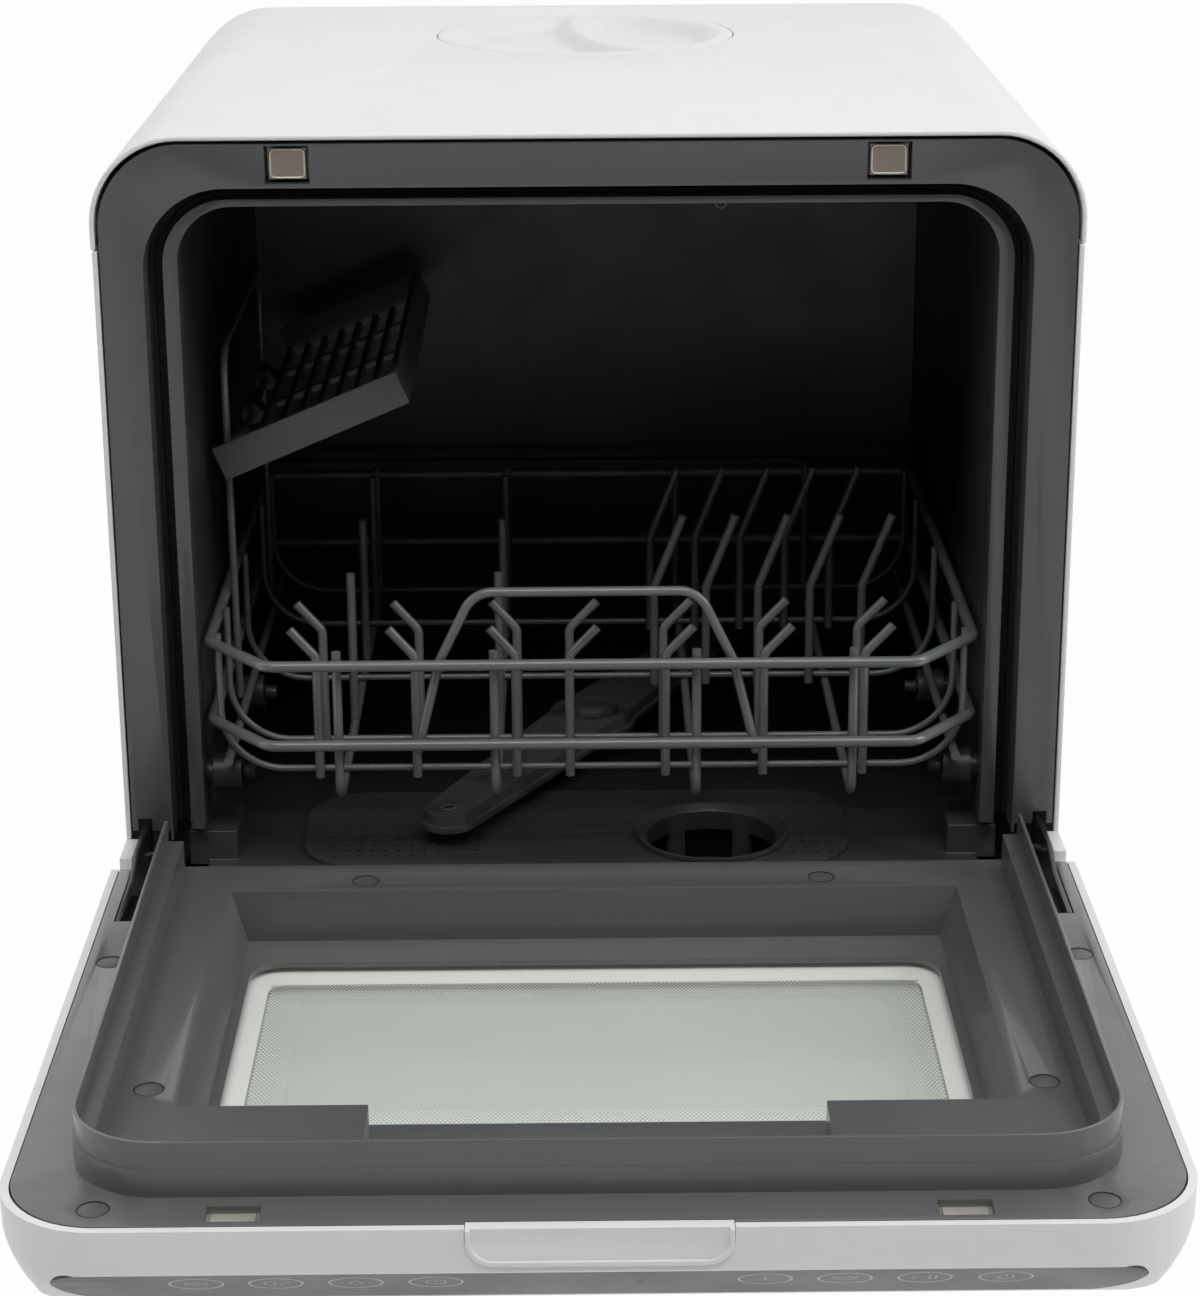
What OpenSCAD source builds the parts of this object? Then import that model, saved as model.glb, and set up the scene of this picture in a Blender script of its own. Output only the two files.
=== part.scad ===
// Countertop dishwasher with a drop-down door, a sliding wire rack, a spray arm and its own water tank.
// Frame: millimetres, +X to the user's right, -Y to the front, +Z up.
// The origin is on the floor, under the middle of the cabinet. The door is modelled open.

/* [Cabinet] */
// Width of the cabinet
body_w = 420; // [410:1:440]
// Depth of the cabinet behind the front face
body_d = 416; // [400:1:440]
// Height over the feet
body_h = 420; // [415:1:440]
// Height of the rubber feet
foot_h = 8; // [6:0.5:12]
// Wall of the moulded outer panels
panel_t = 2.2; // [1.8:0.1:2.2]
// Radius of the two upper front corners
corner_r = 38; // [30:1:44]
// Radius of the two rear upright corners
rear_r = 50; // [35:1:60]
// Height of the seam between the top cover and the side panels
seam_z = 372; // [350:1:376]

/* [Tub] */
// Half width of the wash tub inside
tub_hw = 175.5; // [175:0.1:178]
// Ceiling of the tub inside
tub_top = 388; // [384:1:390]
// Floor of the tub inside
tub_floor = 86; // [84:0.5:88]
// Depth position of the tub's rear wall
tub_back = 130; // [126:1:136]
// Wall of the tub
tub_t = 2; // [1.6:0.1:2.6]

/* [Front frame] */
// Margin of white panel left round the front frame
bezel_margin = 3.7; // [3.7:0.1:4.5]
// Width of the flat outer band of the front frame
bezel_band = 18; // [17:0.1:19]
// Width of the sealing groove
groove_w = 6.7; // [6.2:0.1:7]
// How far the inner ridge stands back from the face
ridge_back = 12; // [11:0.5:14]
// Height of the lower ends of the frame's legs
leg_bottom = 108.5; // [107:0.5:110]

/* [Door] */
// Height of the hinge axis
hinge_z = 85.4; // [84:0.2:87]
// How far the hinge axis stands in front of the cabinet face
hinge_out = 23.4; // [23:0.1:24]
// Gap between the closed door and the cabinet face
door_gap = 0.8; // [0.6:0.1:1.5]
// Length of the door from the hinge axis to its free edge
door_len = 334.8; // [332:0.2:340]
// Distance from the hinge axis to the outer face of the door
door_out = 16.4; // [15.5:0.1:17]
// Height of the rim that enters the sealing groove
rim_h = 21; // [18:0.5:22]
// Height of the white band above the control strip
edge_band = 14; // [12:0.5:15]
// Depth of the window recess below the liner
recess_depth = 23.5; // [20:0.5:24]
// Half width of the glazed opening
window_hw = 146; // [130:1:148]
// Thickness of the window panes
glass_t = 3; // [2.5:0.5:3]
// Opening angle of the hinge in use, shown open
door_range = 90; // [90:1:90]

/* [Rack] */
// Half width of the rack's rails between wire centres
rack_hw = 171; // [168:0.5:171.5]
// Front rail of the rack
rack_front = -220; // [-222:0.5:-216]
// Rear rail of the rack
rack_rear = 88; // [70:1:92]
// Height of the top rail
rail_z = 190; // [186:1:195]
// Height of the second rail
low_rail_z = 153; // [150:1:156]
// Height of the cross wires that make the rack's floor
floor_z = 129.8; // [129:0.2:131]
// Radius of the rail wire
rail_r = 2.5; // [2.2:0.1:2.7]
// Radius of the cross wires
cross_r = 1.6; // [1.4:0.1:1.8]
// Radius of the lengthwise wires and the tines
tine_r = 2.1; // [1.8:0.1:2.2]
// Top of the handle
handle_z = 222; // [215:1:226]
// Radius of the guide rollers
roller_r = 8.5; // [7.5:0.1:9]

/* [Spray arm] */
// Centre of the spray arm, front to back
arm_y = -42; // [-45:1:-40]
// Length from the centre to each tip
arm_len = 159; // [150:1:160]
// Height of the arm's underside
arm_z = 96; // [95:0.5:97]
// Width of the blade
arm_w = 32; // [28:1:36]
// Angle of the arm at rest, from the front towards the left
arm_angle = 27; // [20:1:35]

/* [Cup shelf] */
// Upward tilt of the shelf in use
shelf_tilt = 23; // [20:1:26]
// Width of the shelf from its pivot
shelf_w = 86; // [80:1:88]
// Height of the shelf's pivot wire
shelf_z = 257; // [250:1:260]

/* [Water fill] */
// Diameter of the fill cap
cap_d = 150; // [140:1:152]
// Centre of the fill cap, front to back
cap_y = 96; // [92:1:98]
// Inner radius of the fill neck
neck_r = 40; // [36:1:42]

/* [Hidden] */
$fn = 48;
wire_fn = 24;
eps = 0.01;
lap = 0.3;
hair = 0.01;

// Colours
white = [0.89, 0.895, 0.89];
frame_grey = [0.32, 0.325, 0.325];
wire_grey = [0.47, 0.485, 0.47];
black = [0.04, 0.04, 0.05];
steel = [0.55, 0.52, 0.46];

// Cabinet planes
hw = body_w / 2;
front_y = -body_d / 2;
rear_y = body_d / 2;
hinge_y = front_y - hinge_out;
pan_t = 2;
pan_top = foot_h + pan_t;
side_step = 0.6;

// Front frame
bezel_hw = hw - bezel_margin;
bezel_top = body_h - bezel_margin;
bezel_r = corner_r - bezel_margin + 1;
bezel_depth = 30;
bezel_back = front_y + bezel_depth;
groove_out = bezel_hw - bezel_band;
groove_in = groove_out - groove_w;
groove_top = bezel_top - bezel_band - 0.5;
groove_top_in = groove_top - groove_w;
groove_depth = 28;
groove_r = 35;
ridge_r = groove_r - groove_w;
mouth_hw = tub_hw - 0.3;
mouth_r = 24;
strike_x = 126;
strike_z = groove_top + 9.8;
strike_w = 15.7;
strike_h = 13.1;
notch_in = 197.4;
notch_w = 6.2;
arm_x = 198.6;
legs_low = leg_bottom - 4.3;
slot_in = 191.8;
slot_out = 201.3;
slot_v = 75;
arm_t = 2.2;
spring_x = 193.5;
spring_v = -28;
spring_w = 10;

// Door frame of reference: v runs from the hinge axis to the free edge, w from the outside to the inside
flange_w = hinge_out - door_gap;
flange_v = 19.6;
liner_t = 2.5;
centre_w = flange_w - 4.1;
centre_v = 7.2;
door_skin = 3.2;
door_corner_r = corner_r;
shell_tail = 15;
side_x = 189.5;
chamfer_v = door_len - 22.5;
rim_clear = 1.4;
rim_t = 3.8;
rim_ledge = 0.6;
rim_lip = 1.4;
rim_out = groove_out - rim_clear;
rim_v = groove_top - rim_clear - hinge_z;
rim_r = groove_r - rim_clear;
rim_tail = 15.6;
step_t = 4.4;
step_drop = 9.6;
recess_hw = 156.5;
recess_foot_hw = 150;
recess_v = 35.4;
recess_end = 296;
recess_w = centre_w - recess_depth;
window_v0 = 57.6;
window_v1 = 205.6;
window_r = 14;
block_v = 234.6;
block_out = 160;
block_in = 85;
notch_floor_w = recess_w + 8.5;
latch_v = 322.6;
latch_w = 19;
latch_h = 10.5;
window_margin = 12;
lip_depth = 5.4;
lip_hw = 46;
lip_r = 9.5;
lip_proud = 1.2;
lip_bead = 1.7;
strip_t = 2;

// Rack
long_y = rack_front + rail_r + tine_r;
long_z = floor_z - cross_r - tine_r;
cross_hw = rack_hw - rail_r - cross_r;
cross_bend = 28;
bend_x = cross_hw - cross_bend;
bend_z = floor_z + cross_bend;
runner_angle = 50;
runner_reach = cross_bend + cross_r + tine_r;
runner_x = bend_x + runner_reach * sin(runner_angle);
runner_z = bend_z - runner_reach * cos(runner_angle);
cross_ys = [-186.5, -149, -64, 20, 76];
long_xs = [-112, -43, 46, 115];
roller_z = runner_z - tine_r - 0.3 - roller_r;
roller_ys = [-181, -75];
roller_in = 159;
roller_len = 12.5;
roller_hub = 6;

// Shelf
shelf_wire_r = 1.8;
post_x = -(rack_hw - rail_r - shelf_wire_r);
pivot_x = post_x + 2 * shelf_wire_r;
post_ys = [-112, 50];
shelf_y0 = -130;
shelf_y1 = 92;
shelf_top_w = 9.8;
shelf_low_w = -6;
shelf_wall = 3;

// Filter and sump
filter_x = 55;
filter_y = -168;
cup_r = 33;
cup_wall = 2;
sump_r = 38;
plate_x0 = -133;
plate_x1 = 118;
plate_y0 = -202;
plate_y1 = -112;
plate_t = 2;

// Services at the rear
spigot_z = 58;
pump_x0 = 12;
pump_z = 46;
drain_x0 = 98;
drain_z = 41.5;
heater_z = 66;
tank_hose_x = 70;
tank_hose_z = 50;
tank_z0 = 96;
inlet_x = -120;
drain_x = 122;
gland_x = -60;
rear_t = 1.2;
tank_gap = 0.3;
tank_y0 = tub_back + tub_t + tank_gap;
tank_y1 = rear_y - panel_t - 3;

// ---------- helpers ----------

// Front view of an upright panel: square feet and two rounded upper corners
module arch2d(half, z0, z1, r) {
  intersection() {
    translate([-half, z0]) square([2 * half, z1 - z0]);
    union() {
      translate([-half, z0 - r]) square([2 * half, z1 - z0]);
      translate([-half + r, z0 - r]) square([2 * (half - r), z1 - z0 + r]);
      for (s = [-1, 1]) translate([s * (half - r), z1 - r]) circle(r);
    }
  }
}

module arch(half, z0, z1, r, y0, y1) {
  translate([0, y1, 0]) rotate([90, 0, 0]) linear_extrude(y1 - y0) arch2d(half, z0, z1, r);
}

// Plan of the cabinet: square front and two rounded rear corners
module plan2d(half, y0, y1, r) {
  translate([-half, y0]) square([2 * half, y1 - r - y0]);
  translate([-half + r, y0]) square([2 * (half - r), y1 - y0]);
  for (s = [-1, 1]) translate([s * (half - r), y1 - r]) circle(r);
}

// A rectangle with four round corners
module round_rect(w, h, r) {
  translate([-w / 2 + r, -h / 2]) square([w - 2 * r, h]);
  translate([-w / 2, -h / 2 + r]) square([w, h - 2 * r]);
  for (sx = [-1, 1]) for (sy = [-1, 1]) translate([sx * (w / 2 - r), sy * (h / 2 - r)]) circle(r);
}

// The cabinet's outer form, drawn in by a margin, between two heights
module cabinet_form(inset, z0, z1) {
  intersection() {
    arch(hw - inset, z0, min(z1, body_h - inset), corner_top(inset, z1), front_y - 1, rear_y + 1);
    translate([0, 0, z0 - 1]) linear_extrude(body_h - z0 + 2)
      plan2d(hw - inset, front_y, rear_y - inset, rear_r - inset);
  }
}

function corner_top(inset, z1) = z1 >= body_h - inset ? corner_r - inset : 0.5;

function norm2(v) = sqrt(v[0] * v[0] + v[1] * v[1]);
function heading(v) = atan2(v[1], v[0]);
function wrap(a) = a > 180 ? a - 360 : (a <= -180 ? a + 360 : a);
function turn(a, b, c) = wrap(heading(c - b) - heading(b - a));
function setback(a, b, c, bend) = bend * tan(abs(turn(a, b, c)) / 2);

// A round wire bent in its own XY plane, open or closed, with arcs of one bend radius at the corners.
// The straight runs are a hair thinner than the arcs and end inside them.
module bent_wire(pts, r, bend, closed = false) {
  n = len(pts);
  last = closed ? n - 1 : n - 2;
  for (i = [0:last]) {
    a = pts[i];
    b = pts[(i + 1) % n];
    run = b - a;
    u = run / norm2(run);
    s0 = !closed && i == 0 ? 0 : setback(pts[(i + n - 1) % n], a, b, bend) - lap;
    s1 = !closed && i == last ? 0 : setback(a, b, pts[(i + 2) % n], bend) - lap;
    translate([a[0] + u[0] * s0, a[1] + u[1] * s0, 0])
      rotate([0, 0, heading(u)]) rotate([0, 90, 0])
        cylinder(h = norm2(run) - s0 - s1, r = r - hair, $fn = wire_fn);
  }
  for (i = [closed ? 0 : 1:last]) wire_elbow(pts[(i + n - 1) % n], pts[i], pts[(i + 1) % n], r, bend);
}

module wire_elbow(a, b, c, r, bend) {
  t = turn(a, b, c);
  u = (b - a) / norm2(b - a);
  side = t > 0 ? 1 : -1;
  start = b - u * setback(a, b, c, bend);
  centre = start + [-u[1], u[0]] * side * bend;
  first = heading(start - centre);
  translate([centre[0], centre[1], 0])
    rotate([0, 0, t > 0 ? first : first + t])
      rotate_extrude(angle = abs(t), $fn = 48) translate([bend, 0]) circle(r, $fn = wire_fn);
}

// A round bar between two points
module bar(p, q, r) {
  d = q - p;
  len3 = norm(d);
  translate(p) rotate([0, acos(d[2] / len3), atan2(d[1], d[0])]) cylinder(h = len3, r = r, $fn = wire_fn);
}

// Places what is drawn in XY into the upright plane X = x, as (Y, Z)
module in_side_plane(x) {
  translate([x, 0, 0]) rotate([90, 0, 90]) children();
}

// Places what is drawn in XY into the upright plane Y = y, as (X, Z)
module in_front_plane(y) {
  translate([0, y, 0]) rotate([90, 0, 0]) children();
}

// ---------- cabinet ----------

module panel_skin(inset, t, z0, z1) {
  difference() {
    cabinet_form(inset, z0, z1);
    translate([0, 0, -eps]) cabinet_form(inset + t, z0 - 1, z1 + (z1 < body_h ? 2 : 0));
    translate([-hw - 1, front_y - 2, z0 - 3]) cube([body_w + 2, 2, body_h]);
  }
}

module top_cover() {
  color(white) difference() {
    panel_skin(0, panel_t, seam_z, body_h);
    translate([0, cap_y, body_h - 20]) cylinder(h = 40, r = cap_d / 2 + 0.5, $fn = 96);
  }
  color(white) difference() {
    translate([0, cap_y, body_h - 12]) cylinder(h = 12 - panel_t / 2, r = cap_d / 2 + 2.5, $fn = 96);
    translate([0, cap_y, body_h - 10]) cylinder(h = 20, r = cap_d / 2 + 0.5, $fn = 96);
    translate([0, cap_y, body_h - 20]) cylinder(h = 30, r = neck_r + 4.3, $fn = 72);
  }
}

module side_panel(side) {
  color(white) intersection() {
    panel_skin(side_step, panel_t, pan_top + 0.2, seam_z - 0.4);
    translate([side > 0 ? hw - rear_r : -hw, front_y - 5, 0]) cube([rear_r, body_d + 10, body_h]);
  }
}

module left_side_panel() { side_panel(-1); }
module right_side_panel() { side_panel(1); }

module rear_panel() {
  slot_w = 46;
  slot_h = 4;
  y1 = rear_y - side_step;
  color(white) difference() {
    translate([-(hw - rear_r) + 0.3, y1 - panel_t, pan_top + 0.2])
      cube([2 * (hw - rear_r) - 0.6, panel_t, seam_z - 0.4 - pan_top - 0.2]);
    for (sx = [-1, 1]) for (i = [0:11])
      translate([sx * 90, y1 - panel_t / 2, 270 + i * 8])
        cube([slot_w, panel_t + 2, slot_h], center = true);
    for (x = [inlet_x, drain_x]) translate([x, y1 - 10, spigot_z]) rotate([-90, 0, 0]) cylinder(h = 20, r = 14.3);
    translate([gland_x, y1 - 10, spigot_z]) rotate([-90, 0, 0]) cylinder(h = 20, r = 9.3);
  }
}

module base_pan() {
  rise = 12;
  inset = side_step + panel_t + 0.3;
  color(black) {
    difference() {
      translate([0, 0, foot_h]) linear_extrude(rise) plan2d(hw - inset, front_y + 0.4, rear_y - inset, rear_r - inset);
      translate([0, 0, pan_top]) linear_extrude(rise)
        plan2d(hw - inset - 2, front_y + 2.4, rear_y - inset - 2, rear_r - inset - 2);
      for (x = [inlet_x, drain_x]) translate([x, rear_y - 20, spigot_z]) rotate([-90, 0, 0]) cylinder(h = 30, r = 15);
    }
    for (sx = [-1, 1]) translate([sx > 0 ? tub_hw - 12 : -tub_hw, -120, pan_top - eps])
      cube([12, 200, tub_floor - tub_t - pan_top]);
  }
}

module feet() {
  for (x = [-170, 170]) for (y = [-180, 165]) color(black) translate([x, y, 0]) {
    cylinder(h = foot_h - 2, r1 = 13, r2 = 15);
    translate([0, 0, foot_h - 2]) cylinder(h = 2, r = 15);
  }
}

// Lower front panel: its top is hollowed round the hinge axis, so that the door's tail turns inside it
module plinth_panel() {
  tail_r = sqrt(shell_tail * shell_tail + door_out * door_out) + 0.85;
  top = hinge_z - door_out - 0.6;
  front = hinge_y - door_out;
  cheek_in = 204;
  cheek_t = hw - side_step - cheek_in;
  nose_r = 13;
  t = 3;
  hollow = [for (a = [180:7.5:360]) tail_r * [cos(a), sin(a)]];
  color(white) {
    difference() {
      translate([-hw + side_step, front, foot_h + 4]) cube([body_w - 2 * side_step, front_y - front - 0.3, top - foot_h - 4]);
      translate([-cheek_in, front + t, foot_h + 3]) cube([2 * cheek_in, front_y - front, top - t - foot_h - 3 - 8]);
      translate([-hw - 1, hinge_y, hinge_z]) rotate([90, 0, 90]) linear_extrude(body_w + 2) polygon(hollow);
      for (s = [-1, 1]) translate([s * (arm_x + arm_t / 2) - 3, hinge_y - 12, hinge_z - 40]) cube([6, 60, 60]);
    }
    for (s = [-1, 1]) translate([s > 0 ? cheek_in : -hw + side_step, 0, 0]) difference() {
      union() {
        translate([0, hinge_y, hinge_z]) rotate([0, 90, 0]) cylinder(h = cheek_t, r = nose_r);
        translate([0, hinge_y - 9, foot_h + 10]) cube([cheek_t, hinge_out + 8.7, hinge_z - foot_h - 10]);
        translate([0, hinge_y, foot_h + 10]) cube([cheek_t, hinge_out - 0.3, hinge_z + flange_v - 0.3 - foot_h - 10]);
      }
      translate([-10, hinge_y, hinge_z]) rotate([0, 90, 0]) cylinder(h = 30, r = 3.05);
      translate([-1, hinge_y - 30, hinge_z - 30]) cube([30, 21, 14]);
    }
  }
}

module bezel_cut(half, top, r, depth, z0) {
  arch(half, z0, top, r, front_y - 1, front_y + depth);
}

module front_bezel() {
  color(frame_grey) difference() {
    union() {
      arch(bezel_hw, leg_bottom, bezel_top, bezel_r, front_y, bezel_back - 16);
      arch(groove_out + 2.5, legs_low, groove_top + 2.5, groove_r + 2.5, front_y, bezel_back);
    }
    difference() {
      bezel_cut(groove_out, groove_top, groove_r, groove_depth, 0);
      bezel_cut(groove_in, groove_top_in, ridge_r, bezel_depth, 0);
    }
    bezel_cut(groove_in + eps, groove_top_in + eps, ridge_r, ridge_back, 0);
    bezel_cut(mouth_hw, tub_top, mouth_r, bezel_depth + 5, 0);
    translate([-bezel_hw, front_y + 4, 0]) cube([bezel_hw - groove_out - 2.5, 60, bezel_top - 24]);
    translate([groove_out + 2.5, front_y + 4, 0]) cube([bezel_hw - groove_out - 2.5, 60, bezel_top - 24]);
    for (s = [-1, 1]) {
      translate([s * strike_x, front_y, strike_z]) cube([strike_w + 3, 32, strike_h + 3], center = true);
      translate([s * (notch_in + notch_w / 2), front_y, leg_bottom]) cube([notch_w, 60, 11.6], center = true);
      translate([s * (groove_out + 8), front_y, leg_bottom - 7]) cube([14, 200, 14], center = true);
    }
  }
}

module door_gasket() {
  t = 6.6;
  y1 = front_y + groove_depth;
  y0 = front_y - door_gap + rim_h + 0.6;
  color(black) difference() {
    arch(groove_out - 0.02, legs_low + 1, groove_top - 0.02, groove_r, y0, y1 - 0.02);
    arch(groove_in + 0.02, 0, groove_top_in + 0.02, ridge_r, y0 - 1, y1 + 1);
    difference() {
      arch(groove_out - 2, 0, groove_top - 2, groove_r - 2, y0 - 1, y0 + t / 2);
      arch(groove_in + 2, 0, groove_top_in + 2, ridge_r + 2, y0 - 2, y0 + t);
    }
  }
}

module bottom_lip_seal() {
  color(black) translate([-mouth_hw + 2, front_y - 2.6, tub_floor - 5])
    rotate([90, 0, 90]) linear_extrude(2 * mouth_hw - 4)
      polygon([[0, 0], [2.3, 0], [2.3, 4.6], [1.2, 6], [0, 5]]);
}

module tub() {
  out = tub_hw + tub_t;
  top = tub_top + tub_t;
  lip = 4;
  ledge_z = 187;
  block_in = 162;
  block_out = 184;
  block_y = front_y + 19.6;
  block_top = legs_low - 4.2;
  color(black) difference() {
    union() {
      arch(out, tub_floor - tub_t, top, mouth_r + tub_t, bezel_back + 0.02, tub_back + tub_t);
      for (s = [-1, 1]) translate([s > 0 ? block_in : -block_out, block_y, tub_floor - tub_t])
        cube([block_out - block_in, 34, block_top - tub_floor + tub_t]);
      translate([-mouth_hw, front_y, tub_floor - tub_t]) cube([2 * mouth_hw, bezel_depth + 5, tub_t]);
      translate([-mouth_hw, front_y, tub_floor - tub_t]) cube([2 * mouth_hw, 2, lip + tub_t]);
    }
    difference() {
      arch(tub_hw, tub_floor, tub_top, mouth_r, front_y + 2, tub_back);
      translate([-tub_hw, tub_back - 4, 0]) cube([2 * tub_hw, 10, ledge_z]);
      for (s = [-1, 1]) translate([s > 0 ? block_in : -block_out, block_y, 0]) cube([block_out - block_in, 34, block_top]);
    }
    translate([filter_x, filter_y, 0]) cylinder(h = 100, r = cup_r + 2.4);
    translate([0, arm_y, 0]) cylinder(h = 100, r = 11.05);
  }
}

module latch_strikes() {
  for (s = [-1, 1]) color(steel) translate([s * strike_x, front_y + 5, strike_z]) {
    cube([strike_w, 2, strike_h], center = true);
    translate([0, 4, 0]) cube([strike_w - 4, 6, strike_h - 4], center = true);
    translate([0, 6.8, 0]) cube([strike_w + 2.4, 1.2, strike_h + 2.4], center = true);
  }
}

// Flat strainer on the tub floor, round the cup
module filter_plate() {
  pitch = 6;
  cols = floor((plate_x1 - plate_x0 - 20) / pitch);
  color(frame_grey) difference() {
    translate([(plate_x0 + plate_x1) / 2, (plate_y0 + plate_y1) / 2, tub_floor + 0.05])
      linear_extrude(plate_t) round_rect(plate_x1 - plate_x0, plate_y1 - plate_y0, 28);
    translate([filter_x, filter_y, tub_floor - 1]) cylinder(h = 10, r = cup_r + 0.6, $fn = 72);
    for (i = [0:cols]) for (j = [0:4]) {
      x = plate_x0 + 14 + i * pitch;
      y = plate_y0 + 12 + j * pitch;
      if (norm([x - filter_x, y - filter_y]) > cup_r + 5 && abs(x + 10) > 40)
        translate([x, y, tub_floor - 1]) cylinder(h = 10, r = 1.2, $fn = 6);
    }
  }
}

module sump() {
  z0 = pan_top + 0.3;
  z1 = tub_floor - tub_t - 0.02;
  wall = 2.5;
  color(black) translate([filter_x, filter_y, 0]) difference() {
    union() {
      translate([0, 0, z0 + 12]) cylinder(h = z1 - z0 - 12, r = sump_r);
      translate([0, 0, z0]) cylinder(h = 14, r = 16);
      translate([0, 0, z1 - 3]) cylinder(h = 3, r = sump_r + 1);
      translate([pump_x0 - filter_x + 0.3, 0, pump_z]) rotate([0, 90, 0]) cylinder(h = filter_x - pump_x0 - 20, r = 11);
      translate([20, 0, drain_z]) rotate([0, 90, 0]) cylinder(h = drain_x0 - filter_x - 20.3, r = 9);
      translate([tank_hose_x - filter_x, 20, tank_hose_z]) rotate([-90, 0, 0]) cylinder(h = 28, r = 6);
    }
    translate([0, 0, z0 + 15]) cylinder(h = 100, r = sump_r - wall);
    translate([pump_x0 - filter_x - 1, 0, pump_z]) rotate([0, 90, 0]) cylinder(h = filter_x - pump_x0, r = 8.5);
    translate([20, 0, drain_z]) rotate([0, 90, 0]) cylinder(h = 60, r = 6.5);
    translate([tank_hose_x - filter_x, 10, tank_hose_z]) rotate([-90, 0, 0]) cylinder(h = 60, r = 4.5);
  }
}

// A motor pump lying along X from its inlet face, with a tangential outlet towards the rear
module pump(r, len, volute_r, axis_z, outlet_z, outlet_r, outlet_y) {
  volute_len = 24;
  difference() {
    union() {
      rotate([0, 90, 0]) cylinder(h = volute_len, r = volute_r);
      translate([volute_len, 0, 0]) rotate([0, 90, 0]) cylinder(h = len, r = r);
      translate([volute_len + len, 0, 0]) rotate([0, 90, 0]) cylinder(h = 5, r = r - 6);
      translate([volute_len / 2, 0, outlet_z - axis_z]) rotate([-90, 0, 0]) cylinder(h = outlet_y, r = outlet_r);
      for (x = [volute_len + 4, volute_len + len - 10])
        translate([x, -12, pan_top - axis_z + 0.02]) cube([6, 24, axis_z - pan_top - r + 4]);
    }
    translate([volute_len / 2, outlet_y - 12, outlet_z - axis_z]) rotate([-90, 0, 0]) cylinder(h = 20, r = outlet_r - 1.6);
    translate([-1, 0, 0]) rotate([0, 90, 0]) cylinder(h = 12, r = 6);
    for (i = [0:7]) rotate([i * 45, 0, 0]) translate([volute_len + 6, r - 1.5, -2]) cube([len - 12, 4, 4]);
  }
}

module wash_pump() {
  color(black) translate([pump_x0, filter_y, pump_z]) mirror([1, 0, 0])
    pump(27, 70, 33, pump_z, heater_z, 8, 44);
}

module drain_pump() {
  color(black) translate([drain_x0, filter_y, drain_z])
    pump(18, 34, 23, drain_z, spigot_z, 6, 40);
}

// Flow-through heater between the wash pump and the spray spindle
module flow_heater() {
  y0 = filter_y + 44.3;
  y1 = arm_y - 15.3;
  color(steel) translate([pump_x0 - 12, 0, heater_z]) {
    difference() {
      union() {
        translate([0, y0 + 6, 0]) rotate([-90, 0, 0]) cylinder(h = y1 - y0 - 12, r = 15);
        translate([0, y0, 0]) rotate([-90, 0, 0]) cylinder(h = y1 - y0, r = 8);
        translate([-6, (y0 + y1) / 2 - 8, pan_top - heater_z + 0.02]) cube([12, 16, heater_z - pan_top - 14]);
        for (x = [-7, 7]) translate([x, y1 - 8, 10]) cylinder(h = 6, r = 1.6);
      }
      translate([0, y0 - 1, 0]) rotate([-90, 0, 0]) cylinder(h = y1 - y0 + 2, r = 6.4);
    }
  }
}

module inlet_valve() {
  y1 = rear_y - side_step - panel_t - 14;
  color(white) translate([inlet_x, 0, spigot_z]) {
    translate([-14, y1 - 42, -16]) cube([28, 30, 32]);
    translate([0, y1 - 12, 0]) rotate([-90, 0, 0]) cylinder(h = 12, r = 9);
    translate([0, y1 - 27, 15]) cylinder(h = tank_z0 - 0.3 - spigot_z - 15, r = 9);
    translate([-8, y1 - 34, pan_top - spigot_z + 0.02]) cube([16, 14, spigot_z - pan_top - 15]);
  }
}

// Hose spigot with a flange outside the rear panel and a body inside it
module rear_spigot(x, bore_r, out_r, reach) {
  y1 = rear_y - side_step;
  color(frame_grey) translate([x, y1, spigot_z]) difference() {
    union() {
      translate([0, 0.02, 0]) rotate([-90, 0, 0]) cylinder(h = 2, r = 17);
      translate([0, -panel_t - 14 + 0.3, 0]) rotate([-90, 0, 0]) cylinder(h = panel_t + 15, r = 13.9);
      rotate([-90, 0, 0]) cylinder(h = reach + 2, r = out_r);
    }
    translate([0, -30, 0]) rotate([-90, 0, 0]) cylinder(h = 60, r = bore_r);
  }
}

module inlet_spigot() { rear_spigot(inlet_x, 10.4, 13.2, 12); }
module drain_spigot() { rear_spigot(drain_x, 6.4, 9, 14); }

module cable_gland() {
  y1 = rear_y - side_step;
  color(black) translate([gland_x, y1, spigot_z]) difference() {
    union() {
      rotate([-90, 0, 0]) cylinder(h = side_step, r = 12);
      translate([0, -panel_t - 6, 0]) rotate([-90, 0, 0]) cylinder(h = panel_t + 6.5, r = 9);
      translate([0, -panel_t - 5, 0]) rotate([-90, 0, 0]) cylinder(h = 5 - 0.05, r = 11.5);
    }
    translate([0, -30, 0]) rotate([-90, 0, 0]) cylinder(h = 60, r = 4);
  }
}

module water_tank() {
  z0 = tank_z0;
  z1 = body_h - 60;
  wall = 2.5;
  color(white) difference() {
    union() {
      translate([-150, tank_y0, z0]) cube([300, tank_y1 - tank_y0, z1 - z0]);
      translate([0, cap_y + 62, z1]) cylinder(h = 14, r = 10);
      translate([tank_hose_x, tank_y0 + 30, z0 - 16]) cylinder(h = 18, r = 6);
    }
    translate([-150 + wall, tank_y0 + wall, z0 + wall]) cube([300 - 2 * wall, tank_y1 - tank_y0 - 2 * wall, z1 - z0 - 2 * wall]);
    translate([0, cap_y + 62, z1 - 5]) cylinder(h = 30, r = 8);
    translate([tank_hose_x, tank_y0 + 30, z0 - 20]) cylinder(h = 30, r = 4.5);
  }
}

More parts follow.
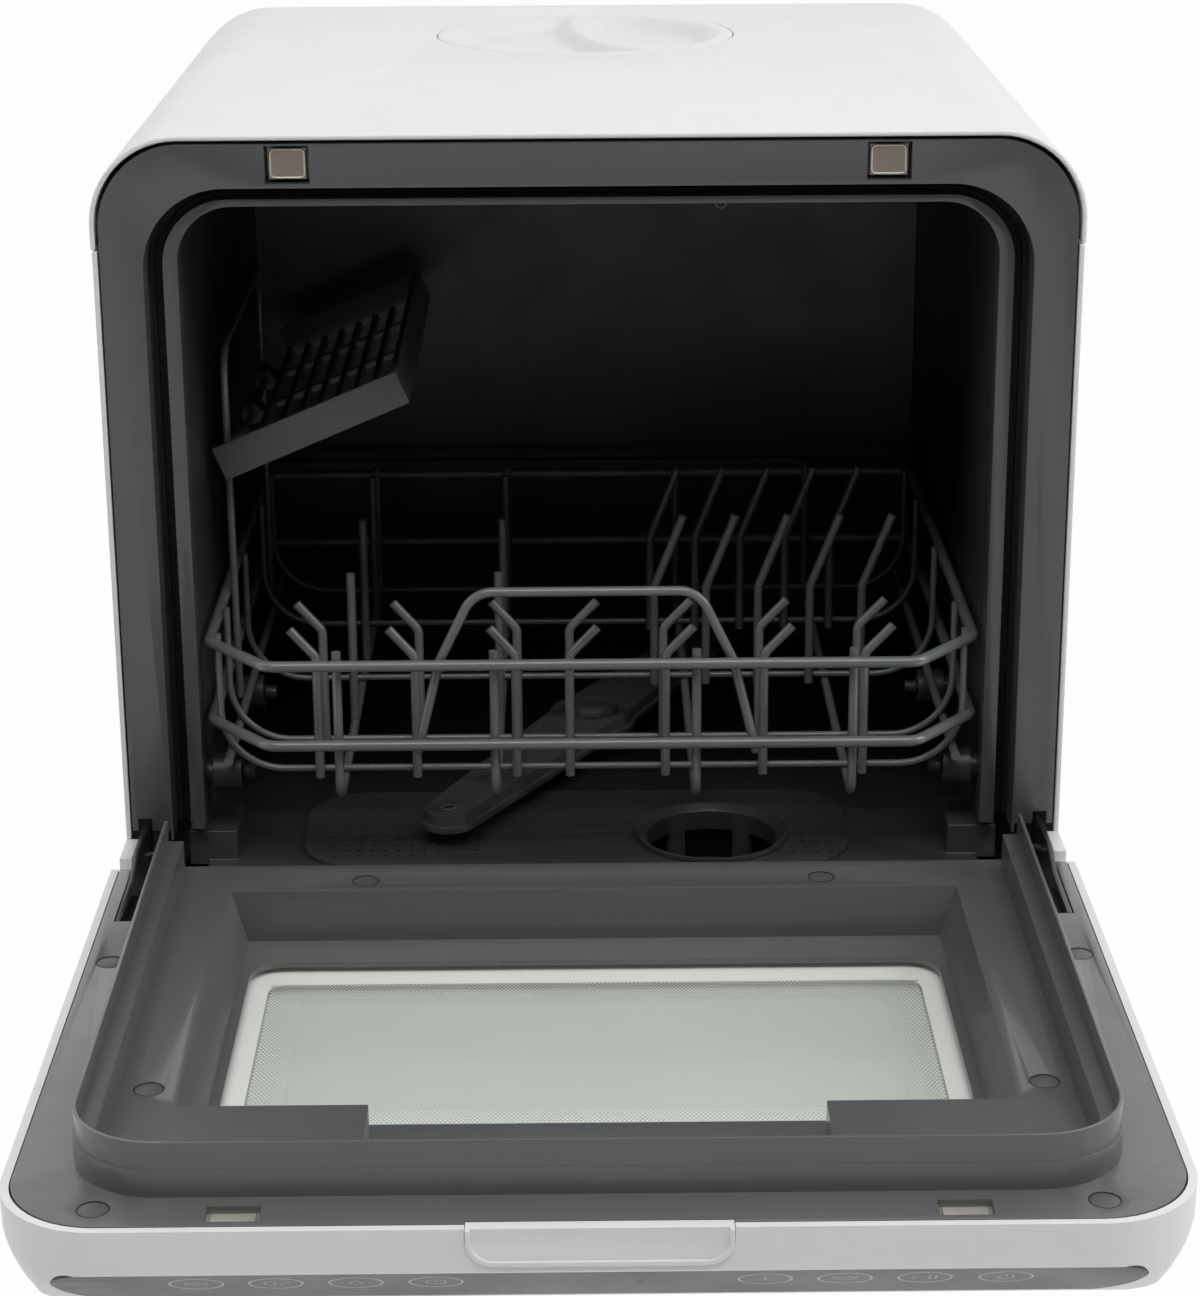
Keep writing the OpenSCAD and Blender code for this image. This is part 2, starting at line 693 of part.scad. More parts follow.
// Funnel under the cap: the neck the cap seals in, and the spout to the tank
module fill_neck() {
  z1 = body_h - 11.9 + 1.4;
  z0 = tub_top + tub_t + 4;
  color(white) difference() {
    union() {
      translate([0, cap_y, z0]) cylinder(h = z1 - z0, r = neck_r + 4, $fn = 72);
      translate([0, cap_y, z0 + 3]) cylinder(h = body_h - 12 - z0 - 3 - 0.02, r = neck_r + 12, $fn = 72);
      translate([-14, cap_y + neck_r - 4, z0]) cube([28, 36, 10]);
      translate([0, cap_y + 62, body_h - 60 + 14.02]) cylinder(h = z0 - body_h + 60 - 10, r = 10);
    }
    translate([0, cap_y, z0 + 2]) cylinder(h = 40, r = neck_r, $fn = 72);
    translate([-11, cap_y + neck_r - 8, z0 + 2]) cube([22, 36, 6]);
    translate([0, cap_y + 62, body_h - 60]) cylinder(h = z0 - body_h + 64, r = 7);
  }
}

module control_box() {
  color(black) {
    difference() {
      translate([-150, 10, pan_top + 0.02]) cube([90, 110, 52]);
      translate([-147, 13, pan_top + 3]) cube([84, 104, 60]);
    }
    translate([-147, 13.2, pan_top + 3]) cube([84, 103.6, 2]);
    for (i = [0:3]) translate([-140 + i * 20, 40, pan_top + 4]) cube([12, 18, 16 + 4 * (i % 2)]);
  }
}

module hinge_pins() {
  for (s = [-1, 1]) color(steel) translate([s > 0 ? 196 : -hw + side_step + 1, hinge_y, hinge_z])
    rotate([0, 90, 0]) cylinder(h = hw - side_step - 1 - 196, r = 3);
}

// Extension springs that hold up the door: a close coil between two hooks, the upper one in the lever's hole
module hinge_springs() {
  y = hinge_y - spring_v;
  hook_z = hinge_z + spring_w;
  coil_r = 3.4;
  wire_r = 0.9;
  z0 = 30;
  z1 = hook_z - 9;
  pitch = 3;
  for (s = [-1, 1]) color(steel) {
    translate([s * spring_x, y, z0]) cylinder(h = z1 - z0, r = coil_r - 0.2);
    for (k = [0:floor((z1 - z0) / pitch)]) translate([s * spring_x, y, z0 + k * pitch])
      rotate_extrude($fn = 24) translate([coil_r, 0]) circle(wire_r, $fn = 13);
    translate([s * spring_x, y, pan_top + 0.05]) cylinder(h = z0 - pan_top, r = 1.2);
    translate([s * spring_x, y, z1 - 1]) cylinder(h = hook_z - z1 + 1.6, r = 1.1);
    translate([s > 0 ? spring_x : -arm_x - arm_t - 1, y, hook_z]) rotate([0, 90, 0])
      cylinder(h = arm_x + arm_t + 1 - spring_x, r = 1);
  }
}

module roller_bracket(side, y) {
  x0 = roller_in + roller_len + 0.3;
  translate([side > 0 ? x0 : -mouth_hw, y, roller_z]) rotate([0, 90, 0]) cylinder(h = mouth_hw - x0, r = 5.5);
  translate([side > 0 ? roller_in - roller_hub : -x0 - 0.1, y, roller_z]) rotate([0, 90, 0])
    cylinder(h = x0 - roller_in + roller_hub + 0.1, r = 1.95);
  translate([side > 0 ? roller_in - roller_hub : -roller_in + 0.3, y, roller_z]) rotate([0, 90, 0])
    cylinder(h = roller_hub - 0.3, r = 3.3);
}

module roller_brackets() {
  for (s = [-1, 1]) for (y = roller_ys) color(frame_grey) roller_bracket(s, y);
}

module guide_roller(side, y) {
  color(frame_grey) translate([side > 0 ? roller_in : -roller_in - roller_len, y, roller_z]) rotate([0, 90, 0])
    difference() {
      cylinder(h = roller_len, r = roller_r);
      translate([0, 0, -1]) cylinder(h = roller_len + 2, r = 2);
      for (i = [0:5]) rotate([0, 0, i * 60]) translate([5.2, 0, -1]) cylinder(h = 4, r = 1.4);
    }
}

module roller_front_left() { guide_roller(-1, roller_ys[0]); }
module roller_front_right() { guide_roller(1, roller_ys[0]); }
module roller_rear_left() { guide_roller(-1, roller_ys[1]); }
module roller_rear_right() { guide_roller(1, roller_ys[1]); }

module spray_spindle() {
  color(frame_grey) translate([0, arm_y, 0]) difference() {
    union() {
      translate([0, 0, tub_floor - tub_t - 12]) cylinder(h = 12 - 0.02, r = 15);
      translate([0, 0, tub_floor - tub_t - 30]) cylinder(h = 36, r = 11);
      translate([0, 0, tub_floor]) cylinder(h = 3, r = 15);
      cylinder_from(tub_floor, arm_z - 0.3, 11);
      cylinder_from(tub_floor, arm_z + 10, 6);
      translate([pump_x0 - 12, -15, heater_z]) rotate([-90, 0, 0]) cylinder(h = 15, r = 8);
    }
    translate([0, 0, heater_z - 3]) cylinder(h = 60, r = 3.5);
    translate([pump_x0 - 12, -16, heater_z]) rotate([-90, 0, 0]) cylinder(h = 17, r = 6.4);
  }
}

module cylinder_from(z0, z1, r) { translate([0, 0, z0]) cylinder(h = z1 - z0, r = r); }

// A straight length of hose that ends in a moulded elbow
module hose_run(p, q, elbow_axis) {
  hose_r = 6;
  knuckle_r = 7.5;
  bar(p, q, hose_r);
  translate(q) rotate(elbow_axis) cylinder(h = 2 * knuckle_r - 2, r = knuckle_r, center = true);
}

// Tank feed to the sump, and drain line to the rear spigot
module internal_hoses() {
  feed_y = tank_y0 + 30;
  feed = [[tank_hose_x, feed_y, tank_z0 - 16.3], [tank_hose_x, feed_y, tank_hose_z]];
  pump_out = drain_x0 + 12;
  drain = [[pump_out, filter_y + 40.3, spigot_z], [pump_out, 20, spigot_z], [drain_x, 60, spigot_z]];
  color(black) {
    hose_run(feed[0], feed[1], [0, 90, 0]);
    bar([tank_hose_x, filter_y + 48.3, tank_hose_z], feed[1], 6);
    hose_run(drain[0], drain[1], [0, 0, 0]);
    hose_run(drain[1], drain[2], [0, 0, 0]);
    bar(drain[2], [drain_x, rear_y - side_step - panel_t - 14, spigot_z], 6);
  }
}

// ---------- door ----------

// Door frame of reference, laid open in front of the cabinet
module on_door() { translate([0, hinge_y, hinge_z]) mirror([0, 1, 0]) children(); }

// Plan of the door: square at the hinge, round at the two free corners
module door_plan2d(half, v0, v1, r) {
  translate([-half, v0]) square([2 * half, v1 - r - v0]);
  translate([-half + r, v0]) square([2 * (half - r), v1 - v0]);
  for (s = [-1, 1]) translate([s * (half - r), v1 - r]) circle(r);
}

module door_plate(half, v0, v1, r, w0, w1) {
  translate([0, 0, w0]) linear_extrude(w1 - w0) door_plan2d(half, v0, v1, r);
}

// Side view of the door, drawn in by a margin, swept across its width
module door_profile(inset, top_w) {
  k = inset * tan(22.5);
  translate([-hw - 1, 0, 0]) rotate([90, 0, 90]) linear_extrude(body_w + 2) polygon([
    [-shell_tail + inset, -door_out + inset],
    [chamfer_v - k, -door_out + inset],
    [door_len - inset, -door_out + inset + door_len - chamfer_v - inset + k],
    [door_len - inset, top_w],
    [centre_v + inset, top_w],
    [centre_v + inset, centre_w - inset],
    [-8 + inset, 8 - inset],
    [-shell_tail - 2 + inset, -8]
  ]);
}

module door_body(inset, top_w) {
  intersection() {
    door_profile(inset, top_w);
    door_plate(hw - inset, -40, door_len - inset, door_corner_r - inset, -40, 60);
  }
}

module door_shell() {
  color(white) on_door() difference() {
    door_body(0, flange_w);
    difference() {
      door_body(door_skin, flange_w + 10);
      translate([-hw, 0, -40]) cube([body_w, door_len - 60, 20]);
    }
    door_plate(bezel_hw + 0.1, flange_v - 30, door_len - bezel_margin + 0.1, bezel_r, flange_w - liner_t, 60);
    for (s = [-1, 1]) translate([s > 0 ? side_x : -hw - 1, -60, -60]) cube([hw - side_x + 1, 60 + flange_v, 140]);
    translate([-side_x + 8, -60, centre_w - 14]) cube([2 * side_x - 16, 60 + centre_v + 4, 40]);
    translate([0, 0, -door_out - 1]) linear_extrude(12) window_outline(window_margin);
    on_slope() translate([0, 0, -3]) linear_extrude(3 + strip_t + 0.15) strip_outline(0.15);
    lip_notch();
  }
}

// The sloping edge of the door: its own XY plane is the slope, +Z points into the door
module on_slope() {
  translate([0, (door_len + chamfer_v) / 2, -door_out + (door_len - chamfer_v) / 2]) rotate([45, 0, 0]) children();
}

module strip_outline(grow) {
  slope_len = sqrt(2) * (door_len - chamfer_v);
  round_rect(2 * (hw - 18) + 2 * grow, slope_len - 3 + 2 * grow, 12 + grow);
}

// Front view of the finger pull: two round lower corners, open at the top
module lip_outline(grow, top) {
  low = flange_w - edge_band;
  intersection() {
    union() {
      translate([-lip_hw - grow, low + lip_r]) square([2 * (lip_hw + grow), top - low]);
      translate([-lip_hw + lip_r, low - grow]) square([2 * (lip_hw - lip_r), lip_r + 1]);
      for (s = [-1, 1]) translate([s * (lip_hw - lip_r), low + lip_r]) circle(lip_r + grow);
    }
    translate([-2 * lip_hw, low - 1]) square([4 * lip_hw, top - low + 1]);
  }
}

module lip_notch() {
  translate([0, door_len + 10, 0]) rotate([90, 0, 0]) linear_extrude(lip_depth + 10.2) lip_outline(0.2, flange_w + 20);
}

module window_outline(margin) {
  translate([0, (window_v0 + window_v1) / 2])
    round_rect(2 * window_hw + 2 * margin, window_v1 - window_v0 + 2 * margin, window_r + max(margin - 2, 0));
}

// Glossy strip over the touch controls
module control_panel() {
  color([0.3, 0.3, 0.31]) on_door() intersection() {
    on_slope() linear_extrude(strip_t) strip_outline(0);
    door_body(0, flange_w);
  }
}

module control_board() {
  color([0.1, 0.3, 0.15]) on_door() on_slope() translate([-120, -10, door_skin + 0.3]) cube([240, 18, 1.6]);
}

module rim_ring(out, v1, r, t, w0, w1) {
  difference() {
    door_plate(out, rim_tail, v1, r, w0, w1);
    door_plate(out - t, -20, v1 - t, r - t, w0 - 1, w1 + 1);
  }
}

module recess_well(grow, w_top) {
  translate([0, recess_end + grow, 0]) rotate([90, 0, 0]) linear_extrude(recess_end - recess_v + 2 * grow)
    polygon([
      [-recess_foot_hw - grow, recess_w - grow], [recess_foot_hw + grow, recess_w - grow],
      [recess_hw + grow, centre_w], [recess_hw + grow, w_top],
      [-recess_hw - grow, w_top], [-recess_hw - grow, centre_w]
    ]);
}

module near_block(side) {
  x0 = side > 0 ? block_in : -block_out;
  len = block_out - block_in;
  difference() {
    translate([x0, block_v, recess_w - liner_t]) cube([len, recess_end - block_v + liner_t, centre_w - recess_w + liner_t]);
    translate([x0 + liner_t, block_v + liner_t, recess_w - liner_t - 1])
      cube([len - 2 * liner_t, recess_end - block_v - liner_t, centre_w - recess_w + 1]);
  }
}

module plug_holes(r) {
  for (p = plug_spots) translate([p[0], p[1], p[2] - 1.2]) cylinder(h = 20, r = r);
}

plug_spots = [
  for (s = [-1, 1]) [s * 174.5, 318.6, flange_w],
  for (s = [-1, 1]) [s * 197, 115.6, flange_w],
  for (s = [-1, 1]) [s * 168, 220.6, centre_w],
  for (s = [-1, 1]) [s * 99, 24.6, centre_w],
  for (s = [-1, 1]) [s * 56, 257.6, notch_floor_w]
];

module door_liner() {
  inner_hw = rim_out - rim_t - step_t;
  inner_v = rim_v - rim_t - step_t;
  inner_r = rim_r - rim_t - step_t;
  color(frame_grey) on_door() difference() {
    union() {
      difference() {
        door_plate(bezel_hw, flange_v, door_len - bezel_margin, bezel_r, flange_w - liner_t, flange_w);
        door_plate(inner_hw, -60, inner_v, inner_r, 0, 60);
      }
      door_plate(inner_hw + 1, centre_v, inner_v + 1, inner_r + 1, centre_w - liner_t, centre_w);
      rim_ring(rim_out - rim_ledge, rim_v - rim_ledge, rim_r - rim_ledge, rim_lip, flange_w - liner_t, flange_w + rim_h);
      rim_ring(rim_out, rim_v, rim_r, rim_t, flange_w - liner_t, flange_w + rim_h - step_drop - 1);
      rim_ring(rim_out - rim_ledge - 0.1, rim_v - rim_ledge - 0.1, rim_r - rim_ledge - 0.1, rim_t - rim_ledge + step_t + 0.1, centre_w - liner_t, flange_w + rim_h - step_drop);
      recess_well(liner_t, centre_w);
    }
    difference() {
      recess_well(0, centre_w + 20);
      near_block(-1);
      near_block(1);
      translate([-block_in - 1, block_v - 12, recess_w - 10]) cube([2 * block_in + 2, 100, notch_floor_w - recess_w + 10]);
    }
    for (s = [-1, 1]) {
      translate([s > 0 ? block_in + liner_t : -block_out + liner_t, block_v + liner_t, recess_w - 20])
        cube([block_out - block_in - 2 * liner_t, recess_end - block_v - 2 * liner_t, centre_w - recess_w - liner_t + 20]);
      translate([s * strike_x, latch_v, flange_w]) cube([latch_w, latch_h, 20], center = true);
      translate([s > 0 ? slot_in : -slot_out, flange_v - 1, 0]) cube([slot_out - slot_in, slot_v - flange_v + 1, 60]);
    }
    translate([-block_in + 1, block_v - 10, recess_w - 20]) cube([2 * block_in - 2, recess_end - block_v + 8, notch_floor_w - recess_w + 17.5]);
    translate([0, 0, recess_w - 20]) linear_extrude(30) window_outline(0);
    plug_holes(5.6);
    lip_notch();
  }
}

module window_pane(margin, w0) {
  on_door() translate([0, 0, w0]) linear_extrude(glass_t) window_outline(margin);
}

module window_outer() { color([0.55, 0.6, 0.6, 0.4]) window_pane(window_margin - 0.3, -door_out); }
module window_inner() { color([0.65, 0.7, 0.68, 0.4]) window_pane(5, recess_w - liner_t - glass_t - 0.02); }

module door_latches() {
  for (s = [-1, 1]) color(steel) on_door() translate([s * strike_x, latch_v, flange_w - liner_t - 0.3]) {
    translate([0, 0, -2.5]) cube([latch_w + 6, latch_h + 5, 5], center = true);
    translate([0, 0, 0.5]) cube([latch_w - 3, latch_h - 3, 1], center = true);
  }
}

module screw_plugs() {
  for (p = plug_spots) color([0.45, 0.46, 0.45]) on_door() translate([p[0], p[1], p[2] - 1.18]) cylinder(h = 1, r = 5.5);
}

// Finger pull on the free edge: a raised bead round a shallow hollow
module handle_lip() {
  hollow_r = 26;
  mid_w = flange_w - edge_band / 2;
  color(white) on_door() difference() {
    translate([0, door_len + lip_proud, 0]) rotate([90, 0, 0])
      linear_extrude(lip_depth + lip_proud) lip_outline(0, flange_w - 0.2);
    intersection() {
      translate([0, door_len + 2 * lip_proud, 0]) rotate([90, 0, 0])
        linear_extrude(2 * lip_proud + 3) lip_outline(-lip_bead, flange_w + 5);
      translate([0, door_len + hollow_r - 1, mid_w + 2]) rotate([0, 90, 0])
        cylinder(h = 2 * lip_hw, r = hollow_r, center = true, $fn = 96);
    }
  }
}

// Stamped hinge levers: a sickle plate that turns on the hinge pin and runs along the door's slot
module hinge_arms() {
  lever = [
    [slot_v - 1.5, flange_w - 0.4], [30, flange_w - 0.4], [12, flange_w + 5.6], [-22, flange_w + 4.6],
    [spring_v - 4, flange_w - 4], [spring_v - 4, 5], [-10, -9], [12, -9], [30, 2], [slot_v - 1.5, 2]
  ];
  for (s = [-1, 1]) color([0.12, 0.12, 0.13]) on_door() {
    difference() {
      translate([s > 0 ? arm_x : -arm_x - arm_t, 0, 0]) rotate([90, 0, 90]) linear_extrude(arm_t) polygon(lever);
      translate([-hw, 0, 0]) rotate([0, 90, 0]) cylinder(h = body_w, r = 3.06);
      translate([-hw, spring_v, spring_w]) rotate([0, 90, 0]) cylinder(h = body_w, r = 1.6);
    }
    translate([s > 0 ? slot_in + 1 : -arm_x - 0.1, 34, flange_w - 8]) cube([arm_x - slot_in - 0.9, slot_v - 37, 2]);
  }
}

// ---------- spray arm ----------

// Plan of the arm: two blades with round tips and a round hub
module arm_plan2d(grow) {
  for (k = [0, 180]) rotate([0, 0, k]) {
    tip = arm_w / 2 - 3;
    translate([0, -arm_len + tip]) circle(tip + grow);
    polygon([[-tip - grow, -arm_len + tip], [tip + grow, -arm_len + tip], [arm_w / 2 + 4 + grow, 0], [-arm_w / 2 - 4 - grow, 0]]);
  }
  circle(arm_w / 2 + 6 + grow);
}

module spray_arm() {
  thick = 8;
  holes = [26, 52, 78, 104, 128, 146];
  color(wire_grey) translate([0, arm_y, arm_z]) rotate([0, 0, -arm_angle]) difference() {
    union() {
      translate([0, 0, 2]) linear_extrude(thick - 2) arm_plan2d(-2);
      translate([0, 0, 0]) linear_extrude(3) arm_plan2d(0);
    }
    difference() {
      translate([0, 0, 2]) linear_extrude(thick - 4) arm_plan2d(-4);
      cylinder(h = 20, r = 12);
    }
    translate([0, 0, -1]) cylinder(h = 20, r = 6.06);
    for (k = [0, 180]) rotate([0, 0, k]) for (i = [0:len(holes) - 1])
      translate([(i % 2 == 0 ? 1 : -1) * (i == 5 ? 0 : 4), -holes[i], 3]) cylinder(h = 10, r = i == 5 ? 2 : 1.3, $fn = 24);
  }
}

module spray_arm_cap() {
  color(frame_grey) translate([0, arm_y, arm_z + 8.3]) difference() {
    union() {
      cylinder(h = 3, r = 14);
      translate([0, 0, 3]) cylinder(h = 3, r1 = 14, r2 = 9);
    }
    translate([0, 0, -1]) cylinder(h = 3, r = 6.06);
    for (i = [0:5]) rotate([0, 0, i * 60]) translate([13.6, 0, -1]) cylinder(h = 8, r = 1.5, $fn = 24);
  }
}

// ---------- rack ----------

module rail_loop(z) {
  chamfer = 28.4;
  front_in = 35;
  loop = [
    [-rack_hw + chamfer, rack_front], [rack_hw - chamfer, rack_front], [rack_hw, rack_front + front_in],
    [rack_hw, rack_rear], [-rack_hw, rack_rear], [-rack_hw, rack_front + front_in]
  ];
  translate([0, 0, z]) bent_wire(loop, rail_r, 9, closed = true);
}

module rack_rails() {
  color(wire_grey) rail_loop(rail_z);
  color(wire_grey) rail_loop(low_rail_z);
}

module rack_cross_wires() {
  for (y = cross_ys) color(wire_grey) in_front_plane(y)
    bent_wire([[-cross_hw, rail_z + 4], [-cross_hw, floor_z], [cross_hw, floor_z], [cross_hw, rail_z + 4]], cross_r, cross_bend);
}

module rack_long_wires() {
  back = rack_rear - rail_r - tine_r;
  for (x = long_xs) color(wire_grey) in_side_plane(x)
    bent_wire([[long_y, rail_z + 5], [long_y, long_z], [back, long_z], [back, rail_z + 5]], tine_r, 9);
  for (s = [-1, 1]) color(wire_grey) bar([s * runner_x, -198, runner_z], [s * runner_x, back, runner_z], tine_r);
}

module rack_handle() {
  foot = 75;
  shoulder = 64.5;
  grip = 49;
  low = low_rail_z - 6;
  color(wire_grey) translate([-2.5, 0, 0]) in_front_plane(rack_front + rail_r + tine_r)
    bent_wire([[-foot, low], [-shoulder, rail_z], [-grip, handle_z], [grip, handle_z], [shoulder, rail_z], [foot, low]], tine_r, 14);
}

// A tine that stands up and then leans sideways
module bent_tine(x, y, z0, bend_z, top_z, lean) {
  in_front_plane(y) bent_wire([[x, z0], [x, bend_z], [x + lean, top_z]], tine_r, 6);
}

module rack_cup_tines() {
  xs = [-123, -79, -34, -10, 33, 77, 122];
  rows = [cross_ys[0], cross_ys[1]];
  for (y = rows) for (i = [0:6]) color(wire_grey)
    bent_tine(xs[i], y - cross_r - tine_r, floor_z - 3, 184, 197, i < 3 ? -11.5 : 12.5);
}

module rack_plate_tines() {
  back_rows = [[cross_ys[2], 25.2], [cross_ys[3], 23]];
  for (row = back_rows) for (k = [0:4]) color(wire_grey)
    bent_tine(31 + k * row[1], row[0] - cross_r - tine_r, floor_z - 3, 176, 212, 14);
  for (x = [long_xs[0], long_xs[1]]) for (y = [-118, -30, 48]) color(wire_grey)
    bar([x, y, long_z + tine_r], [x, y, 200], tine_r);
}

// ---------- cup shelf ----------

module shelf_frame() {
  color(wire_grey) {
    in_side_plane(post_x)
      bent_wire([[post_ys[0], floor_z + 8], [post_ys[0] - 6, 308], [post_ys[1], 308], [post_ys[1], floor_z + 8]], shelf_wire_r, 14);
    bar([pivot_x, post_ys[0] - 8, shelf_z], [pivot_x, post_ys[1] + 4, shelf_z], shelf_wire_r);
  }
}

// The shelf in its own frame: u away from the wall, w square to the tray
module cup_shelf() {
  slats = 7;
  clip_r = 5;
  clips = [-96, -40, 26];
  color(frame_grey) translate([pivot_x, 0, shelf_z]) rotate([0, -shelf_tilt, 0]) {
    difference() {
      union() {
        translate([-6, shelf_y0, shelf_low_w]) cube([shelf_w + 6, shelf_wall, shelf_top_w - shelf_low_w]);
        translate([6, shelf_y1 - shelf_wall, shelf_low_w]) cube([shelf_w - 6, shelf_wall, shelf_top_w - shelf_low_w]);
        translate([shelf_w - shelf_wall, shelf_y0, shelf_low_w]) cube([shelf_wall, shelf_y1 - shelf_y0, shelf_top_w - shelf_low_w]);
        translate([6, shelf_y0, shelf_low_w]) cube([shelf_wall, shelf_y1 - shelf_y0, 5]);
        for (i = [1:slats]) translate([6 + i * (shelf_w - 9) / (slats + 1), shelf_y0, shelf_low_w]) cube([3, shelf_y1 - shelf_y0, 3]);
        for (y = [shelf_y0 + 50, -20, shelf_y1 - 50]) translate([6, y, shelf_low_w]) cube([shelf_w - 8, 3, 3]);
        for (y = clips) translate([0, y, 0]) rotate([-90, 0, 0]) cylinder(h = 14, r = clip_r);
        for (y = clips) translate([0, y, -5]) cube([8, 14, 4.6]);
      }
      translate([0, shelf_y0 + shelf_wall, 0]) rotate([-90, 0, 0]) cylinder(h = 300, r = shelf_wire_r + 0.06);
    }
  }
}

// ---------- filter cup and fill cap ----------

module filter_cup() {
  z1 = tub_floor + plate_t + 0.4;
  depth = 34;
  tube_r = cup_r - 1;
  inner_r = tube_r - cup_wall;
  rim_r = cup_r + 2;
  windows = 6;
  color(frame_grey) translate([filter_x, filter_y, z1]) difference() {
    union() {
      translate([0, 0, -depth]) cylinder(h = depth, r = tube_r);
      cylinder(h = 2, r = rim_r, $fn = 72);
    }
    translate([0, 0, 2 - depth]) cylinder(h = depth + 10, r = inner_r);
    translate([0, 0, -1]) cylinder(h = 3.02, r1 = inner_r, r2 = rim_r - 1.2, $fn = 72);
    for (i = [0:windows - 1]) rotate([0, 0, 30 + i * 360 / windows])
      translate([inner_r - 6, -inner_r * sin(22), 9 - depth]) cube([12, 2 * inner_r * sin(22), 15]);
  }
}

// Round cap with a curved grip that parts two hollows
module fill_cap() {
  r = cap_d / 2;
  top = body_h + 0.2;
  dish = 7;
  rim_w = 9;
  grip_w = 9;
  arc_r = 62;
  color(white) translate([0, cap_y, 0]) {
    difference() {
      union() {
        translate([0, 0, body_h - 9.7]) cylinder(h = top - body_h + 9.7, r = r, $fn = 96);
        translate([0, 0, body_h - 23]) cylinder(h = 15, r = neck_r - 1.6, $fn = 72);
      }
      translate([0, 0, top - dish]) cylinder(h = 20, r1 = r - rim_w - 4, r2 = r - rim_w + 7.4, $fn = 96);
      translate([0, 0, body_h - 25]) cylinder(h = 13, r = neck_r - 5, $fn = 72);
      translate([0, 0, body_h - 20]) rotate_extrude($fn = 72) translate([neck_r - 2.6, 0]) square([4, 4]);
    }
    intersection() {
      translate([0, 0, top - dish - 0.5]) cylinder(h = dish + 0.5, r = r - rim_w - 0.5, $fn = 96);
      union() {
        translate([arc_r - 4, 14, top - dish - 0.5]) difference() {
          cylinder(h = dish + 0.5, r = arc_r + grip_w / 2, $fn = 96);
          translate([0, 0, -1]) cylinder(h = dish + 3, r = arc_r - grip_w / 2, $fn = 96);
          translate([0, 0, -1]) linear_extrude(dish + 3) square(3 * r);
          translate([-grip_w, 0, -1]) linear_extrude(dish + 3) square([3 * r, 3 * r]);
          translate([-2 * r, 0, -1]) linear_extrude(dish + 3) square([4 * r, 3 * r]);
        }
        translate([-4 - grip_w / 2, 14 - 0.1, top - dish - 0.5]) cube([grip_w, r, dish + 0.5]);
      }
    }
  }
}

module fill_cap_seal() {
  color(black) translate([0, cap_y, body_h - 20]) rotate_extrude($fn = 72)
    translate([neck_r - 2.55, 0.1]) square([2.45, 3.8]);
}

top_cover();
left_side_panel();
right_side_panel();
rear_panel();
base_pan();
feet();
plinth_panel();
front_bezel();
door_gasket();
bottom_lip_seal();
tub();
latch_strikes();
filter_plate();
sump();
wash_pump();
drain_pump();
flow_heater();
inlet_valve();
water_tank();
fill_neck();
control_box();
inlet_spigot();
drain_spigot();
cable_gland();
hinge_pins();
hinge_springs();
roller_brackets();
spray_spindle();
internal_hoses();
door_shell();
door_liner();
window_outer();
window_inner();
control_panel();
control_board();
door_latches();
screw_plugs();
handle_lip();
hinge_arms();
spray_arm();
spray_arm_cap();
rack_rails();
rack_cross_wires();
rack_long_wires();
rack_handle();
rack_cup_tines();
rack_plate_tines();
shelf_frame();
cup_shelf();
filter_cup();
fill_cap();
fill_cap_seal();
roller_front_left();
roller_front_right();
roller_rear_left();
roller_rear_right();
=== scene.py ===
"""Looks for the countertop dishwasher: camera, light, materials and the pieces that dress the CAD frame."""
import math

import bmesh
import bpy
from mathutils import Matrix, Vector


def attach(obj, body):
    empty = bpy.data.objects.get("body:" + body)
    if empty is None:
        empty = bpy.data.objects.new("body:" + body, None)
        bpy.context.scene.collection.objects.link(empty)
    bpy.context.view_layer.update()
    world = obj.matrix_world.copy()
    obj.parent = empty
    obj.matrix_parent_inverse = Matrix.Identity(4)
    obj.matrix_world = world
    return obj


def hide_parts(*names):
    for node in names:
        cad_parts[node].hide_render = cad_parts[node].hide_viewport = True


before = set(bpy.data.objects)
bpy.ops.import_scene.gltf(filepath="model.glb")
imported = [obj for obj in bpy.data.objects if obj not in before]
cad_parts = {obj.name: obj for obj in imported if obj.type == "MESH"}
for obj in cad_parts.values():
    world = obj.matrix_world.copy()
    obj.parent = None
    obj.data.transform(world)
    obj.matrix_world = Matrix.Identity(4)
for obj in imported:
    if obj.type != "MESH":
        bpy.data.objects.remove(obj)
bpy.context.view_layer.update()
MM = 0.001

# ---------- camera ----------

CAM_AT = Vector((-5.12, -1498.28, 636.55)) * MM
CAM_RIGHT = Vector((0.99994563, -0.00874857, -0.00567466))
CAM_UP = Vector((0.00820841, 0.3247456, 0.94576578))
CAM_SENSOR = 36
CAM_LENS = 86.11
CAM_NEAR, CAM_FAR = 0.01, 50


def make_camera():
    """The camera at the photograph's place, with its height as the long side."""
    cam_data = bpy.data.cameras.new("view")
    cam = bpy.data.objects.new("view", cam_data)
    bpy.context.scene.collection.objects.link(cam)
    back = CAM_RIGHT.cross(CAM_UP).normalized()
    rot = Matrix((CAM_RIGHT, CAM_UP, back)).transposed()
    cam.matrix_world = Matrix.Translation(CAM_AT) @ rot.to_4x4()
    cam_data.sensor_width = CAM_SENSOR
    cam_data.lens = CAM_LENS
    cam_data.clip_start, cam_data.clip_end = CAM_NEAR, CAM_FAR
    bpy.context.scene.camera = cam


make_camera()
bpy.context.scene.view_settings.view_transform = "Standard"

# ---------- lamps, world and floor ----------


